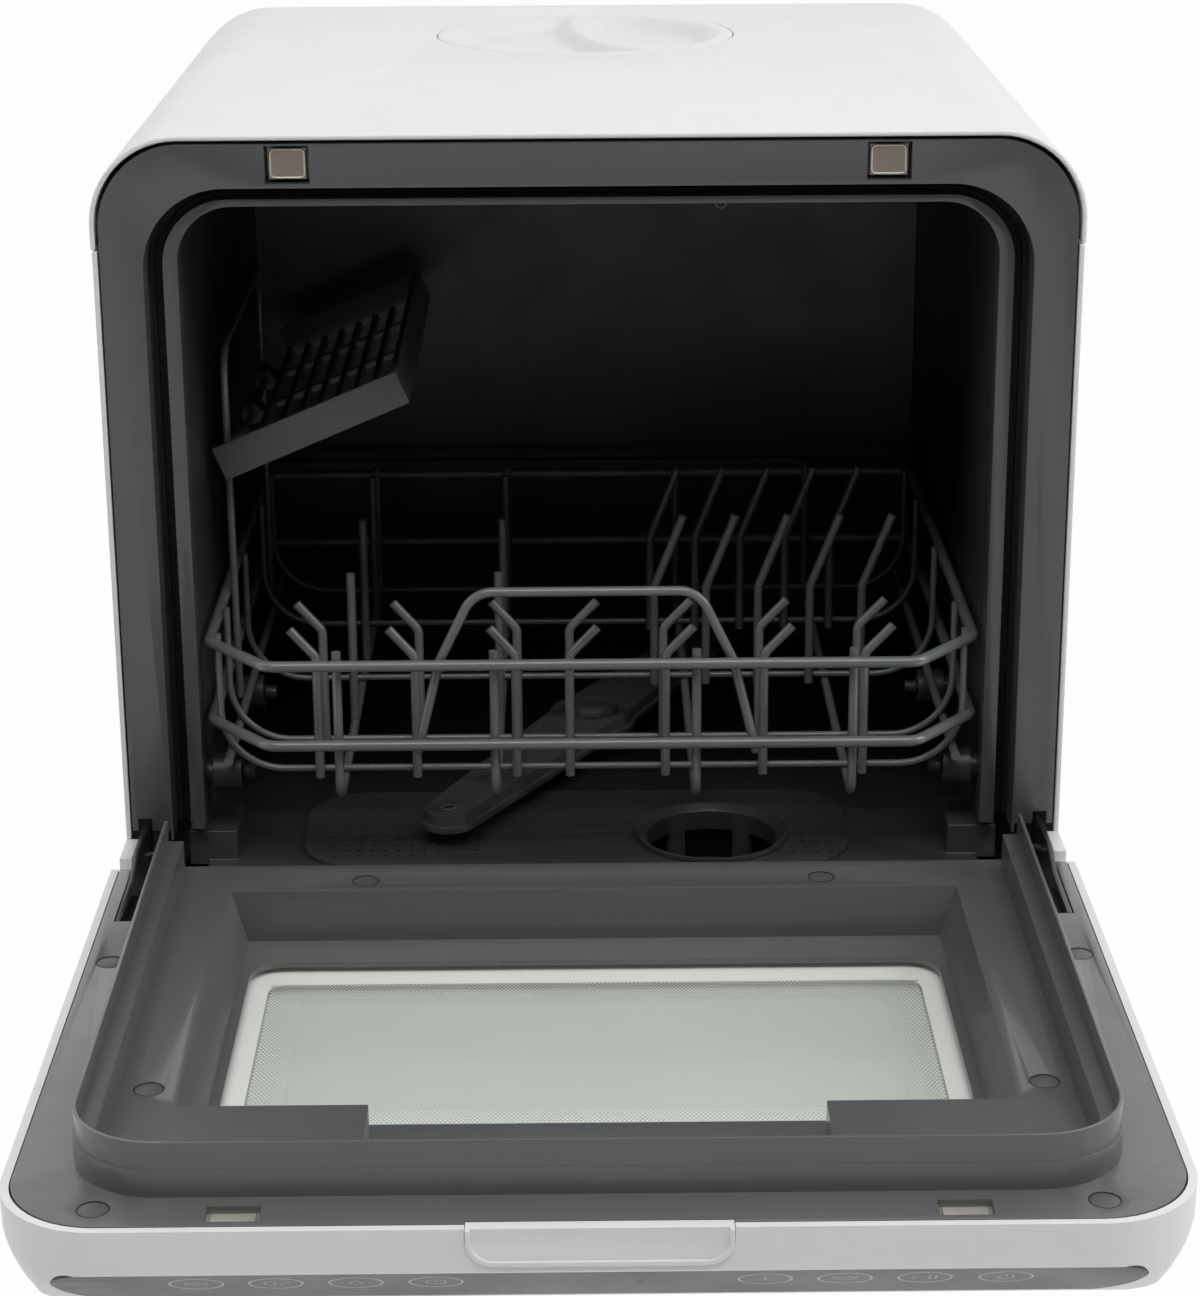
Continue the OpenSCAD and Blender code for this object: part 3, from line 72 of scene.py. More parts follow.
def area(name, at, to, size, power):
    """A white rectangular lamp at one point, turned towards another; metres and watts."""
    data = bpy.data.lights.new(name, "AREA")
    data.shape, data.size, data.size_y = "RECTANGLE", size[0], size[1]
    data.energy = power
    lamp = bpy.data.objects.new(name, data)
    bpy.context.scene.collection.objects.link(lamp)
    lamp.location = at
    lamp.rotation_euler = (Vector(to) - Vector(at)).to_track_quat("-Z", "Y").to_euler()


area("key", (0.1, -1.7, 2.6), (0, -0.3, 0.2), (2.6, 1.0), 36)
area("left", (-2.2, -0.6, 1.6), (0, -0.1, 0.2), (1.2, 1.4), 10)
area("right", (2.2, -0.6, 1.6), (0, -0.1, 0.2), (1.2, 1.4), 24)
area("top", (0, 0.3, 2.6), (0, 0, 0.3), (2.2, 2.2), 6)


def maths(nodes, links, operation, a, b):
    """One sum or product; a and b are sockets or plain numbers."""
    node = nodes.new("ShaderNodeMath")
    node.operation = operation
    for socket, value in zip(node.inputs, (a, b)):
        if isinstance(value, (int, float)):
            socket.default_value = value
        else:
            links.new(value, socket)
    return node.outputs[0]


def ramp(nodes, links, value, start, end, low, high):
    """Runs from low to high while the value goes from start to end, and stays level outside."""
    node = nodes.new("ShaderNodeMapRange")
    for socket, number in zip(("From Min", "From Max", "To Min", "To Max"), (start, end, low, high)):
        node.inputs[socket].default_value = number
    links.new(value, node.inputs["Value"])
    return node.outputs[0]


def seen(nodes, links, mirrored):
    """1 for camera and transmitted rays, the mirrored value for reflections, 0 for rays that only light."""
    path = nodes.new("ShaderNodeLightPath").outputs
    looks = maths(nodes, links, "ADD", path["Is Camera Ray"], path["Is Transmission Ray"])
    return maths(nodes, links, "ADD", looks, maths(nodes, links, "MULTIPLY", path["Is Glossy Ray"], mirrored))


def background(nodes, links, strength):
    """A white background of the given strength."""
    shader = nodes.new("ShaderNodeBackground")
    shader.inputs[0].default_value = (1, 1, 1, 1)
    links.new(strength, shader.inputs[1])
    return shader.outputs[0]


ROOM, ROOM_TO_BACKDROP = 0.12, (-0.3, 0.3)        # what gloss mirrors of the room, and where that turns white
SIDES, OVERHEAD, OVERHEAD_SPAN = 0.02, 0.3, (0.3, 0.9)
BEHIND, BEHIND_SPAN = 0.4, (-0.05, 0.35)


def make_world():
    """A white backdrop behind the object, light from overhead, and a dim room on the camera's side."""
    world = bpy.data.worlds.new("plain")
    bpy.context.scene.world = world
    world.use_nodes = True
    nodes, links = world.node_tree.nodes, world.node_tree.links
    nodes.clear()
    split = nodes.new("ShaderNodeSeparateXYZ")
    links.new(nodes.new("ShaderNodeTexCoord").outputs["Generated"], split.inputs[0])
    back, up = split.outputs[1], split.outputs[2]
    backdrop = seen(nodes, links, ramp(nodes, links, back, *ROOM_TO_BACKDROP, ROOM, 1.0))
    overhead = ramp(nodes, links, up, *OVERHEAD_SPAN, SIDES, OVERHEAD)
    light = maths(nodes, links, "ADD", overhead, ramp(nodes, links, back, *BEHIND_SPAN, 0.0, BEHIND))
    mix = nodes.new("ShaderNodeMixShader")
    links.new(seen(nodes, links, 1), mix.inputs[0])
    links.new(background(nodes, links, light), mix.inputs[1])
    links.new(background(nodes, links, backdrop), mix.inputs[2])
    links.new(mix.outputs[0], nodes.new("ShaderNodeOutputWorld").inputs[0])


make_world()

FLOOR_HALF = 6.0
FLOOR_GREY = 0.8
FLOOR_GLOW = 0.97          # how much of the floor is plain white; the rest shows light and shadow
FLOOR_DIM = (-1.3, -0.7)   # reflections see a plain white floor only behind this stretch


def make_floor():
    """A pale floor that keeps a soft shadow and is otherwise white to the camera."""
    mesh = bpy.data.meshes.new("floor")
    s = FLOOR_HALF
    mesh.from_pydata([(-s, -s, 0), (s, -s, 0), (s, s, 0), (-s, s, 0)], [], [(0, 1, 2, 3)])
    floor = bpy.data.objects.new("floor", mesh)
    bpy.context.scene.collection.objects.link(floor)
    mat = bpy.data.materials.new("floor")
    mat.use_nodes = True
    nodes, links = mat.node_tree.nodes, mat.node_tree.links
    nodes.clear()
    diffuse = nodes.new("ShaderNodeBsdfDiffuse")
    diffuse.inputs[0].default_value = (FLOOR_GREY, FLOOR_GREY, FLOOR_GREY, 1)
    split = nodes.new("ShaderNodeSeparateXYZ")
    links.new(nodes.new("ShaderNodeTexCoord").outputs["Object"], split.inputs[0])
    plain = seen(nodes, links, ramp(nodes, links, split.outputs[1], *FLOOR_DIM, 0.0, 1.0))
    mix = nodes.new("ShaderNodeMixShader")
    links.new(maths(nodes, links, "MULTIPLY", plain, FLOOR_GLOW), mix.inputs[0])
    links.new(diffuse.outputs[0], mix.inputs[1])
    links.new(nodes.new("ShaderNodeEmission").outputs[0], mix.inputs[2])
    links.new(mix.outputs[0], nodes.new("ShaderNodeOutputMaterial").inputs[0])
    mesh.materials.append(mat)


make_floor()

# ---------- materials ----------

NOISE_SPAN = (0.3, 0.7)         # the part of the noise's range that is stretched over a surface's variation
GRAIN, GRAIN_DEEP = 900.0, 0.0004
LEAST_ROUGH = 0.02
COAT_ROUGH = 0.08
PAINTED_LIGHT_SPAN = (-0.06, -0.19)     # where a colour turns into its front one, along Y: painted light near the mouth, where the lamps reach in


def linear(rgb):
    """sRGB 0-255 to linear."""
    return tuple((c / 255 / 12.92) if c / 255 <= 0.04045 else ((c / 255 + 0.055) / 1.055) ** 2.4 for c in rgb)


def noise(nodes, links, coords, scale, detail, stretch, rough=0.5):
    """A noise texture over the object's own coordinates."""
    mapping = nodes.new("ShaderNodeMapping")
    mapping.inputs["Scale"].default_value = stretch
    tex = nodes.new("ShaderNodeTexNoise")
    tex.inputs["Scale"].default_value = scale
    tex.inputs["Detail"].default_value = detail
    tex.inputs["Roughness"].default_value = rough
    links.new(coords, mapping.inputs[0])
    links.new(mapping.outputs[0], tex.inputs["Vector"])
    return tex.outputs["Fac"]


def paint_light_near_mouth(nodes, links, coords, colour, front):
    """Painted light: the colour turns lighter near the mouth, where the lamps reach in, and stays dark behind
    it.
    """
    split = nodes.new("ShaderNodeSeparateXYZ")
    links.new(coords, split.inputs[0])
    blend = nodes.new("ShaderNodeMix")
    blend.data_type = "RGBA"
    links.new(ramp(nodes, links, split.outputs[1], *PAINTED_LIGHT_SPAN, 0.0, 1.0), blend.inputs[0])
    links.new(colour, blend.inputs[6])
    blend.inputs[7].default_value = (*front, 1)
    return blend.outputs[2]


def material(name, rgb, rough, vary=0.04, rough_vary=0.06, mottle=14.0, bump=0.05, stretch=(1, 1, 1),
             metallic=0.0, specular=0.5, coat=0.0, alpha=1.0, front=None):
    """Moulded, coated or metal surface: colour that drifts a little, uneven gloss and a fine grain, and, with
    a front colour, painted light near the mouth.
    """
    mat = bpy.data.materials.new(name)
    mat.use_nodes = True
    nodes, links = mat.node_tree.nodes, mat.node_tree.links
    shader = nodes["Principled BSDF"]
    coords = nodes.new("ShaderNodeTexCoord").outputs["Object"]
    base = linear(rgb)
    blend = nodes.new("ShaderNodeMix")
    blend.data_type = "RGBA"
    blend.inputs[6].default_value = (*(c * (1 - vary) for c in base), 1)
    blend.inputs[7].default_value = (*(min(1, c * (1 + vary)) for c in base), 1)
    drift = noise(nodes, links, coords, mottle, 4.0, stretch)
    links.new(ramp(nodes, links, drift, *NOISE_SPAN, 0, 1), blend.inputs[0])
    colour = blend.outputs[2]
    if front:
        colour = paint_light_near_mouth(nodes, links, coords, colour, linear(front))
    links.new(colour, shader.inputs["Base Color"])
    gloss = noise(nodes, links, coords, mottle * 2.3, 5.0, stretch, 0.6)
    low, high = max(LEAST_ROUGH, rough - rough_vary), rough + rough_vary
    links.new(ramp(nodes, links, gloss, *NOISE_SPAN, low, high), shader.inputs["Roughness"])
    shader.inputs["Metallic"].default_value = metallic
    shader.inputs["Specular IOR Level"].default_value = specular
    shader.inputs["Coat Weight"].default_value = coat
    shader.inputs["Coat Roughness"].default_value = COAT_ROUGH
    shader.inputs["Alpha"].default_value = alpha
    if bump:
        relief = nodes.new("ShaderNodeBump")
        relief.inputs["Strength"].default_value = bump
        relief.inputs["Distance"].default_value = GRAIN_DEEP
        links.new(noise(nodes, links, coords, GRAIN, 2.0, stretch), relief.inputs["Height"])
        links.new(relief.outputs[0], shader.inputs["Normal"])
    return mat


# No range of roughness crosses 0.27, because the renderer's noise filter leaves flaky marks where one does.
MATS = {
    "white": material("white_moulding", (226, 227, 225), 0.36, vary=0.012, bump=0.0),
    "white_in": material("white_inner", (214, 215, 212), 0.45, vary=0.02),
    "sheet": material("zinc_sheet", (150, 152, 154), 0.42, vary=0.06, mottle=30, metallic=0.8),
    "grey": material("grey_moulding", (74, 76, 77), 0.34, vary=0.03, bump=0.0, coat=0.35),
    "liner": material("grey_liner", (92, 94, 95), 0.34, vary=0.03, bump=0.0, coat=0.35),
    "grey_part": material("grey_part", (84, 86, 87), 0.4, bump=0.0),
    "plate": material("filter_grey", (60, 62, 62), 0.36, vary=0.05, bump=0.0),
    "arm": material("arm_grey", (74, 77, 75), 0.34, bump=0.0, coat=0.3),
    "dark_part": material("dark_grey", (46, 48, 49), 0.4, vary=0.05, bump=0.0),
    # Painted shade: a flat dark colour laid where gaps and holes lie in shade.
    "painted_gap_shade": material("gap_shadow", (34, 36, 36), 0.6, vary=0.05, bump=0.0),
    "plug": material("plug_grey", (84, 86, 84), 0.4, bump=0.0),
    "wire": material("coated_wire", (104, 108, 104), 0.34, vary=0.05, mottle=60, bump=0.0, coat=0.6),
    # The tub is painted lighter near the mouth: painted light where the lamps reach in, with the dark colour
    # behind.
    "tub": material("tub_steel", (15, 15, 18), 0.34, vary=0.1, mottle=9, bump=0.0, front=(62, 64, 65)),
    "steel": material("plain_steel", (150, 141, 128), 0.34, vary=0.05, mottle=80, metallic=0.9,
                      stretch=(8, 1, 1)),
    "latch": material("bright_steel", (206, 202, 192), 0.2, mottle=80, metallic=0.5, bump=0.0),
    "arm_steel": material("dark_steel", (96, 95, 92), 0.34, vary=0.08, metallic=1.0),
    "rubber": material("black_rubber", (22, 22, 23), 0.7, vary=0.1, bump=0.12),
    "black": material("black_moulding", (16, 16, 18), 0.5, vary=0.08),
    "glass": material("clear_glass", (190, 196, 190), 0.06, vary=0.01, rough_vary=0.02, bump=0.0, alpha=0.08),
    # The outer pane is pale and nearly opaque: painted light that stands in for the bright floor seen through
    # the glass.
    "pane": material("pale_pane_painted_see_through", (226, 230, 223), 0.12, vary=0.01, rough_vary=0.03, bump=0.0, alpha=0.86),
    "print": material("white_print", (244, 246, 241), 0.5, vary=0.01),
    "strip": material("control_gloss", (70, 71, 74), 0.34, vary=0.02, bump=0.0, specular=0.3),
    "mark": material("touch_mark", (178, 180, 182), 0.4, vary=0.02),
    "board": material("circuit_board", (30, 92, 50), 0.5, vary=0.15, mottle=200),
}

PAINT = {
    "white": ["top_cover", "left_side_panel", "right_side_panel", "rear_panel", "plinth_panel", "door_shell",
              "handle_lip", "fill_cap"],
    "white_in": ["fill_neck", "water_tank", "inlet_valve"],
    "sheet": ["base_pan", "flow_heater"],
    "grey": ["front_bezel"],
    "liner": ["door_liner"],
    "grey_part": ["inlet_spigot", "drain_spigot", "cable_gland", "cup_shelf"],
    "plate": ["filter_plate", "filter_cup"],
    "arm": ["spray_arm", "spray_arm_cap"],
    "dark_part": ["spray_spindle", "roller_brackets", "roller_front_left", "roller_front_right",
                  "roller_rear_left", "roller_rear_right"],
    "plug": ["screw_plugs"],
    "wire": ["rack_rails", "rack_cross_wires", "rack_long_wires", "rack_handle", "rack_cup_tines",
             "rack_plate_tines", "shelf_frame"],
    "tub": ["tub"],
    "steel": ["latch_strikes", "hinge_pins", "hinge_springs"],
    "latch": ["door_latches"],
    "arm_steel": ["hinge_arms"],
    "rubber": ["feet", "door_gasket", "bottom_lip_seal", "fill_cap_seal", "internal_hoses"],
    "black": ["sump", "wash_pump", "drain_pump", "control_box"],
    "glass": ["window_inner"],
    "pane": ["window_outer"],
    "strip": ["control_panel"],
    "board": ["control_board"],
}
for key, names in PAINT.items():
    for name in names:
        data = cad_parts[name].data
        data.materials.clear()
        data.materials.append(MATS[key])

# ---------- soft edges on the CAD nodes ----------

WELD = 0.00001                     # metres; points closer than this are one
FLAT = math.radians(0.4)           # faces that meet at less are one face
SHARP = math.radians(32)           # edges that turn more are rounded

SOFT_EDGES = {                     # radius in metres
    "front_bezel": 0.0009, "door_liner": 0.0009, "top_cover": 0.0012, "left_side_panel": 0.0006,
    "right_side_panel": 0.0006, "rear_panel": 0.0005, "plinth_panel": 0.001, "handle_lip": 0.0006,
    "cup_shelf": 0.0005, "hinge_arms": 0.0003, "spray_arm": 0.0006, "spray_arm_cap": 0.0005, "tub": 0.0006,
    "filter_plate": 0.0003, "filter_cup": 0.0003, "screw_plugs": 0.0003, "feet": 0.0006,
    "roller_brackets": 0.0003, "door_latches": 0.0006, "inlet_spigot": 0.0004, "drain_spigot": 0.0004,
}
LEAF_EDGE = 0.0009
UNFLATTENED = ("door_liner",)      # its ring-shaped face fills in when its triangles are merged


def add_bevel(obj, width):
    """Rounds the sharp edges of an object."""
    bevel = obj.modifiers.new("bevel", "BEVEL")
    bevel.width, bevel.segments = width, 3
    bevel.limit_method, bevel.angle_limit = "ANGLE", SHARP
    bevel.harden_normals, bevel.use_clamp_overlap = True, True


def soften(node, width):
    """Rounds a moulding's sharp edges, as modifiers over the CAD mesh."""
    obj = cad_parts[node]
    for p in obj.data.polygons:
        p.use_smooth = True
    weld = obj.modifiers.new("weld", "WELD")
    weld.merge_threshold = WELD
    if node not in UNFLATTENED:
        flat = obj.modifiers.new("flat", "DECIMATE")
        flat.decimate_type, flat.angle_limit = "DISSOLVE", FLAT
    add_bevel(obj, width)


for name, width in SOFT_EDGES.items():
    soften(name, width)

# ---------- what the added pieces share ----------

HINGE_Y, HINGE_Z = -231.4, 85.4
LIFT = 0.03                        # how far the flat marks stand off what they are printed on


def place(name, mesh, mat, body):
    """Links a mesh to the scene as a piece that rides with a body."""
    mesh.materials.append(MATS[mat])
    obj = bpy.data.objects.new(name, mesh)
    bpy.context.scene.collection.objects.link(obj)
    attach(obj, body)
    return obj


def piece(name, verts, faces, mat, body, smooth=True):
    """A new mesh in the part's frame, from millimetres."""
    mesh = bpy.data.meshes.new(name)
    mesh.from_pydata([tuple(c * MM for c in v) for v in verts], [], faces)
    for p in mesh.polygons:
        p.use_smooth = smooth
    return place(name, mesh, mat, body)


def circle(cx, cy, r, steps):
    """Points round a circle, as pairs."""
    turn = 2 * math.pi / steps
    return [(cx + r * math.cos(turn * k), cy + r * math.sin(turn * k)) for k in range(steps)]


def rounded(hx, v0, v1, r, steps=10):
    """Points round a rectangle with round corners, as pairs: from -hx to hx and from v0 to v1."""
    pts = []
    corners = ((hx - r, v1 - r, 0), (-hx + r, v1 - r, 90), (-hx + r, v0 + r, 180), (hx - r, v0 + r, 270))
    for cx, cv, a0 in corners:
        for k in range(steps + 1):
            a = math.radians(a0 + 90 * k / steps)
            pts.append((cx + r * math.cos(a), cv + r * math.sin(a)))
    return pts


def on_door(x, v, w):
    """x across, v from the hinge towards the free edge, w above the hinge, with the door open."""
    return (x, HINGE_Y - v, HINGE_Z + w)


def joined(node):
    """A node's mesh in the part's frame, with its triangles' corners joined."""
    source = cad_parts[node]
    bm = bmesh.new()
    bm.from_mesh(source.data)
    bm.transform(source.matrix_world)
    bmesh.ops.remove_doubles(bm, verts=bm.verts, dist=WELD)
    return bm


def islands(node):
    """Boxes of a node's separate lumps, in millimetres."""
    bm = joined(node)
    left, boxes = set(bm.verts), []
    while left:
        stack, lump = [left.pop()], []
        while stack:
            v = stack.pop()
            lump.append(v.co / MM)
            for e in v.link_edges:
                other = e.other_vert(v)
                if other in left:
                    left.remove(other)
                    stack.append(other)
        boxes.append([(min(c[k] for c in lump), max(c[k] for c in lump)) for k in range(3)])
    bm.free()
    return sorted(boxes)


def tube(name, path, radius, mat, body, closed=False, sides=12):
    """A round wire or bead swept along points in the part's frame, in millimetres."""
    pts = [Vector(p) for p in path]
    n = len(pts)
    verts, faces = [], []
    normal = None
    for i, p in enumerate(pts):
        a = pts[(i - 1) % n] if closed or i else pts[0]
        b = pts[(i + 1) % n] if closed or i < n - 1 else pts[-1]
        along = (b - a).normalized()
        if normal is None:
            normal = along.orthogonal().normalized()
        normal = (normal - along * normal.dot(along)).normalized()
        side = along.cross(normal)
        verts += [p + normal * u + side * v for u, v in circle(0, 0, radius, sides)]
    for i in range(n if closed else n - 1):
        j = (i + 1) % n
        for k in range(sides):
            k2 = (k + 1) % sides
            faces.append((i * sides + k, j * sides + k, j * sides + k2, i * sides + k2))
    if not closed:
        faces.append(tuple(range(sides)))
        faces.append(tuple(reversed(range((n - 1) * sides, n * sides))))
    return piece(name, verts, faces, mat, body)


# ---------- door leaf ----------

HALF_W, SIDE_FROM = 210.0, 160.0                  # the outer half width, and where the drawing in starts
ROUND_TOP, ROUND_H, ROUND_IN = 14.0, 31.2, 30.0   # height where the round begins, its height and its reach
ROUND_CUTS = range(8, 85, 7)                      # degrees round the side's curve where it is cut
LEAF_SHADE = math.radians(30)


def side_limit(w):
    """Half width of the leaf at a height over the hinge: its outer face has large soft side edges."""
    t = min(0.995, max(0.0, (ROUND_TOP - w) / ROUND_H))
    return HALF_W - ROUND_IN * (1 - math.sqrt(1 - t * t))


def cut(bm, at, normal):
    """Adds edges where a plane meets the mesh."""
    bmesh.ops.bisect_plane(bm, geom=bm.verts[:] + bm.edges[:] + bm.faces[:], dist=0.000001,
                           plane_co=at, plane_no=normal)


def draw_in(node, name, mat):
    """A copy of a door node whose sides curve in towards the outer face."""
    bm = joined(node)
    bmesh.ops.dissolve_limit(bm, angle_limit=FLAT, verts=bm.verts, edges=bm.edges)
    for a in ROUND_CUTS:
        w = ROUND_TOP - ROUND_H * math.sin(math.radians(a))
        cut(bm, (0, 0, (HINGE_Z + w) * MM), (0, 0, 1))
    for side in (-1, 1):
        cut(bm, (side * SIDE_FROM * MM, 0, 0), (1, 0, 0))
    for v in bm.verts:
        x = abs(v.co.x) / MM
        if x > SIDE_FROM:
            limit = side_limit(v.co.z / MM - HINGE_Z)
            x = SIDE_FROM + (x - SIDE_FROM) * (limit - SIDE_FROM) / (HALF_W - SIDE_FROM)
            v.co.x = math.copysign(x * MM, v.co.x)
    mesh = bpy.data.meshes.new(name)
    bm.to_mesh(mesh)
    bm.free()
    for p in mesh.polygons:
        p.use_smooth = True
    mesh.set_sharp_from_angle(angle=LEAF_SHADE)
    leaf = place(name, mesh, mat, "door")
    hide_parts(node)
    add_bevel(leaf, LEAF_EDGE)


draw_in("door_shell", "door_shell_dressed", "white")
draw_in("control_panel", "control_panel_dressed", "strip")

PLUG_STEPS = 32
GAP_SHADE_IN, GAP_SHADE_OUT, GAP_SHADE_UP = 0.15, 0.45, 0.2   # the painted shade ring's reach within and past the plug, and its height over it


def plug_outlines():
    """Painted shade: a fine dark ring over the gap round each screw plug."""
    verts, faces = [], []
    for (x0, x1), (y0, y1), (_, top) in islands("screw_plugs"):
        cx, cy, r = (x0 + x1) / 2, (y0 + y1) / 2, (x1 - x0) / 2
        base = len(verts)
        for radius in (r - GAP_SHADE_IN, r + GAP_SHADE_OUT):
            verts += [(x, y, top + GAP_SHADE_UP) for x, y in circle(cx, cy, radius, PLUG_STEPS)]
        for k in range(PLUG_STEPS):
            k2 = (k + 1) % PLUG_STEPS
            faces.append((base + k, base + PLUG_STEPS + k, base + PLUG_STEPS + k2, base + k2))
    piece("plug_outlines", verts, faces, "painted_gap_shade", "door", smooth=False)


plug_outlines()

# ---------- print on the window ----------

PANE_TOP = -10.01                         # on the inner pane's upper face, under the liner
FRAME_OUT = (157.4, 46.0, 217.0, 22)      # half width, near and far edge, corner radius
PRINT_HALF, PRINT_V0, PRINT_V1 = 137.8, 69.6, 199.0
PRINT_R = 8
DOT_PITCH, DOT_ROW = 1.75, 0.866          # across, and from row to row as a share of it
DOT_V0, DOT_V1 = 70.5, 198
DOT_COLS = 90
DOT_NEAR, DOT_FAR = 0.5, 14.5             # the dotted band's reach from the printed frame
DOT_R, DOT_FADE = 0.66, 24                # a dot's radius at the frame, and where it would vanish


def print_frame():
    """The plain printed band round the window."""
    outer = rounded(*FRAME_OUT)
    inner = rounded(PRINT_HALF, PRINT_V0, PRINT_V1, PRINT_R)
    n = len(outer)
    faces = [(i, (i + 1) % n, n + (i + 1) % n, n + i) for i in range(n)]
    piece("window_print", [on_door(x, v, PANE_TOP) for x, v in outer + inner], faces, "print", "door",
          smooth=False)


def print_dots():
    """The printed dots that shrink away from the band."""
    verts, faces = [], []
    row = 0
    v = DOT_V0
    while v <= DOT_V1:
        for i in range(-DOT_COLS, DOT_COLS + 1):
            x = (i + (0.5 if row % 2 else 0)) * DOT_PITCH
            inside = min(PRINT_HALF - abs(x), v - PRINT_V0, PRINT_V1 - v)
            if DOT_NEAR <= inside <= DOT_FAR:
                base = len(verts)
                r = DOT_R * (1 - inside / DOT_FADE)
                verts += [on_door(dot_x, dot_v, PANE_TOP) for dot_x, dot_v in circle(x, v, r, 6)]
                faces.append(tuple(range(base, base + 6)))
        row += 1
        v = DOT_V0 + row * DOT_PITCH * DOT_ROW
    piece("window_print_dots", verts, faces, "print", "door", smooth=False)


print_frame()
print_dots()

# ---------- fill cap ----------

CAP_Y, CAP_R, CAP_TOP = 96.0, 74.9, 420.2
CAP_RINGS, CAP_SPOKES = 60, 144
CAP_SHADE = math.radians(40)
GRIP = [(-3, 170), (-3.5, 150), (-3, 128), (-1, 105), (7, 73), (17, 56), (30, 43), (46, 32)]     # its spine
GRIP_HALF, GRIP_SIDE, GRIP_RISE = 3.2, 8, 0.94    # half width, run of its sides, share of the hollow it fills
HOLLOW_R, HOLLOW_SIDE, HOLLOW_DEEP = 69.5, 13, 6.6
EDGE_R, EDGE_RUN, EDGE_DROP = 73.6, 1.3, 0.7
CAP_UNDER = [                      # radius and height, from the rim inwards
    (CAP_R, 410.4), (38.3, 410.4), (38.3, 404.2), (37.4, 404.2), (37.4, 400.0), (38.3, 400.0), (38.3, 397.2),
    (35.2, 397.2), (35.2, 411.8), (2, 411.8),
]


def ease(t):
    """From 0 to 1 with a level start and end."""
    t = min(1.0, max(0.0, t))
    return t * t * (3 - 2 * t)


def grip_distance(x, y):
    """How far a point lies from the grip's spine."""
    best = math.inf
    for (ax, ay), (bx, by) in zip(GRIP, GRIP[1:]):
        dx, dy = bx - ax, by - ay
        t = min(1, max(0, ((x - ax) * dx + (y - ay) * dy) / (dx * dx + dy * dy)))
        best = min(best, math.hypot(x - ax - t * dx, y - ay - t * dy))
    return best


def cap_height(x, y):
    """Height of the cap's upper face: a flat rim, two hollows and the curved grip between them."""
    r = math.hypot(x, y - CAP_Y)
    hollow = ease((HOLLOW_R - r) / HOLLOW_SIDE)
    grip = 1 - ease((grip_distance(x, y) - GRIP_HALF) / GRIP_SIDE)
    edge = EDGE_DROP * ease((r - EDGE_R) / EDGE_RUN)
    return CAP_TOP - HOLLOW_DEEP * hollow * (1 - GRIP_RISE * grip) - edge


def make_cap():
    """The filler cap: rings of points over its upper face, then the turned under side."""
    verts, faces = [(0, CAP_Y, cap_height(0, CAP_Y))], []
    for i in range(1, CAP_RINGS + 1):
        ring = circle(0, CAP_Y, CAP_R * i / CAP_RINGS, CAP_SPOKES)
        verts += [(x, y, cap_height(x, y)) for x, y in ring]
    for r, z in CAP_UNDER:
        verts += [(x, y, z) for x, y in circle(0, CAP_Y, r, CAP_SPOKES)]
    for k in range(CAP_SPOKES):
        faces.append((0, 1 + k, 1 + (k + 1) % CAP_SPOKES))
    bands = CAP_RINGS + len(CAP_UNDER) - 1
    for i in range(bands):
        a, b = 1 + i * CAP_SPOKES, 1 + (i + 1) * CAP_SPOKES
        for k in range(CAP_SPOKES):
            k2 = (k + 1) % CAP_SPOKES
            faces.append((a + k, b + k, b + k2, a + k2))
    last = 1 + bands * CAP_SPOKES
    faces.append(tuple(last + k for k in range(CAP_SPOKES)))
    cap = piece("fill_cap_dressed", verts, faces, "white", "cap_body")
    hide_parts("fill_cap")
    cap.data.set_sharp_from_angle(angle=CAP_SHADE)


make_cap()

# ---------- control strip ----------

SLOPE_V, SLOPE_W = 323.55, -5.15       # the strip's middle
HALF_SQ = math.sqrt(0.5)               # sine and cosine of its slope
MARK_S = 3.6                           # the signs' middle, along the slope
MARKS = [(-139.2, "waves"), (-111.8, "ring"), (-84.2, "diamond"), (-56.6, "clock"), (57.0, "plus"),
         (84.6, "bowl"), (112.2, "play_pause"), (140.2, "power")]
OVAL_X, OVAL_S = 9.2, 6.4
OVAL_LINE, SIGN_LINE = 0.75, 0.5
SENSOR_X, SENSOR_S, SENSOR_R = 14, 1.6, 0.8


def on_slope(x, s, up):
    """x across, s along the slope towards the free edge's top, up out of it."""
    return on_door(x, SLOPE_V + (s + up) * HALF_SQ, SLOPE_W + (s - up) * HALF_SQ)


def stroke(points, width, closed):
    """A flat line of one width through points in the slope's plane, as quads."""
    verts, faces = [], []
    n = len(points)
    for i, (x, s) in enumerate(points):
        a = points[(i - 1) % n] if closed or i else points[i]
        b = points[(i + 1) % n] if closed or i < n - 1 else points[i]
        dx, ds = b[0] - a[0], b[1] - a[1]
        length = math.hypot(dx, ds) or 1
        nx, ns = -ds / length * width / 2, dx / length * width / 2
        verts += [(x + nx, s + ns), (x - nx, s - ns)]
    for i in range(n if closed else n - 1):
        j = (i + 1) % n
        faces.append((2 * i, 2 * i + 1, 2 * j + 1, 2 * j))
    return verts, faces


def ellipse(cx, cs, rx, rs, a0=0, a1=360, steps=40):
    """Points along an ellipse between two angles; a whole one doesn't repeat its first point."""
    count = steps if a1 - a0 == 360 else steps + 1
    angles = [math.radians(a0 + (a1 - a0) * k / steps) for k in range(count)]
    return [(cx + rx * math.cos(a), cs + rs * math.sin(a)) for a in angles]


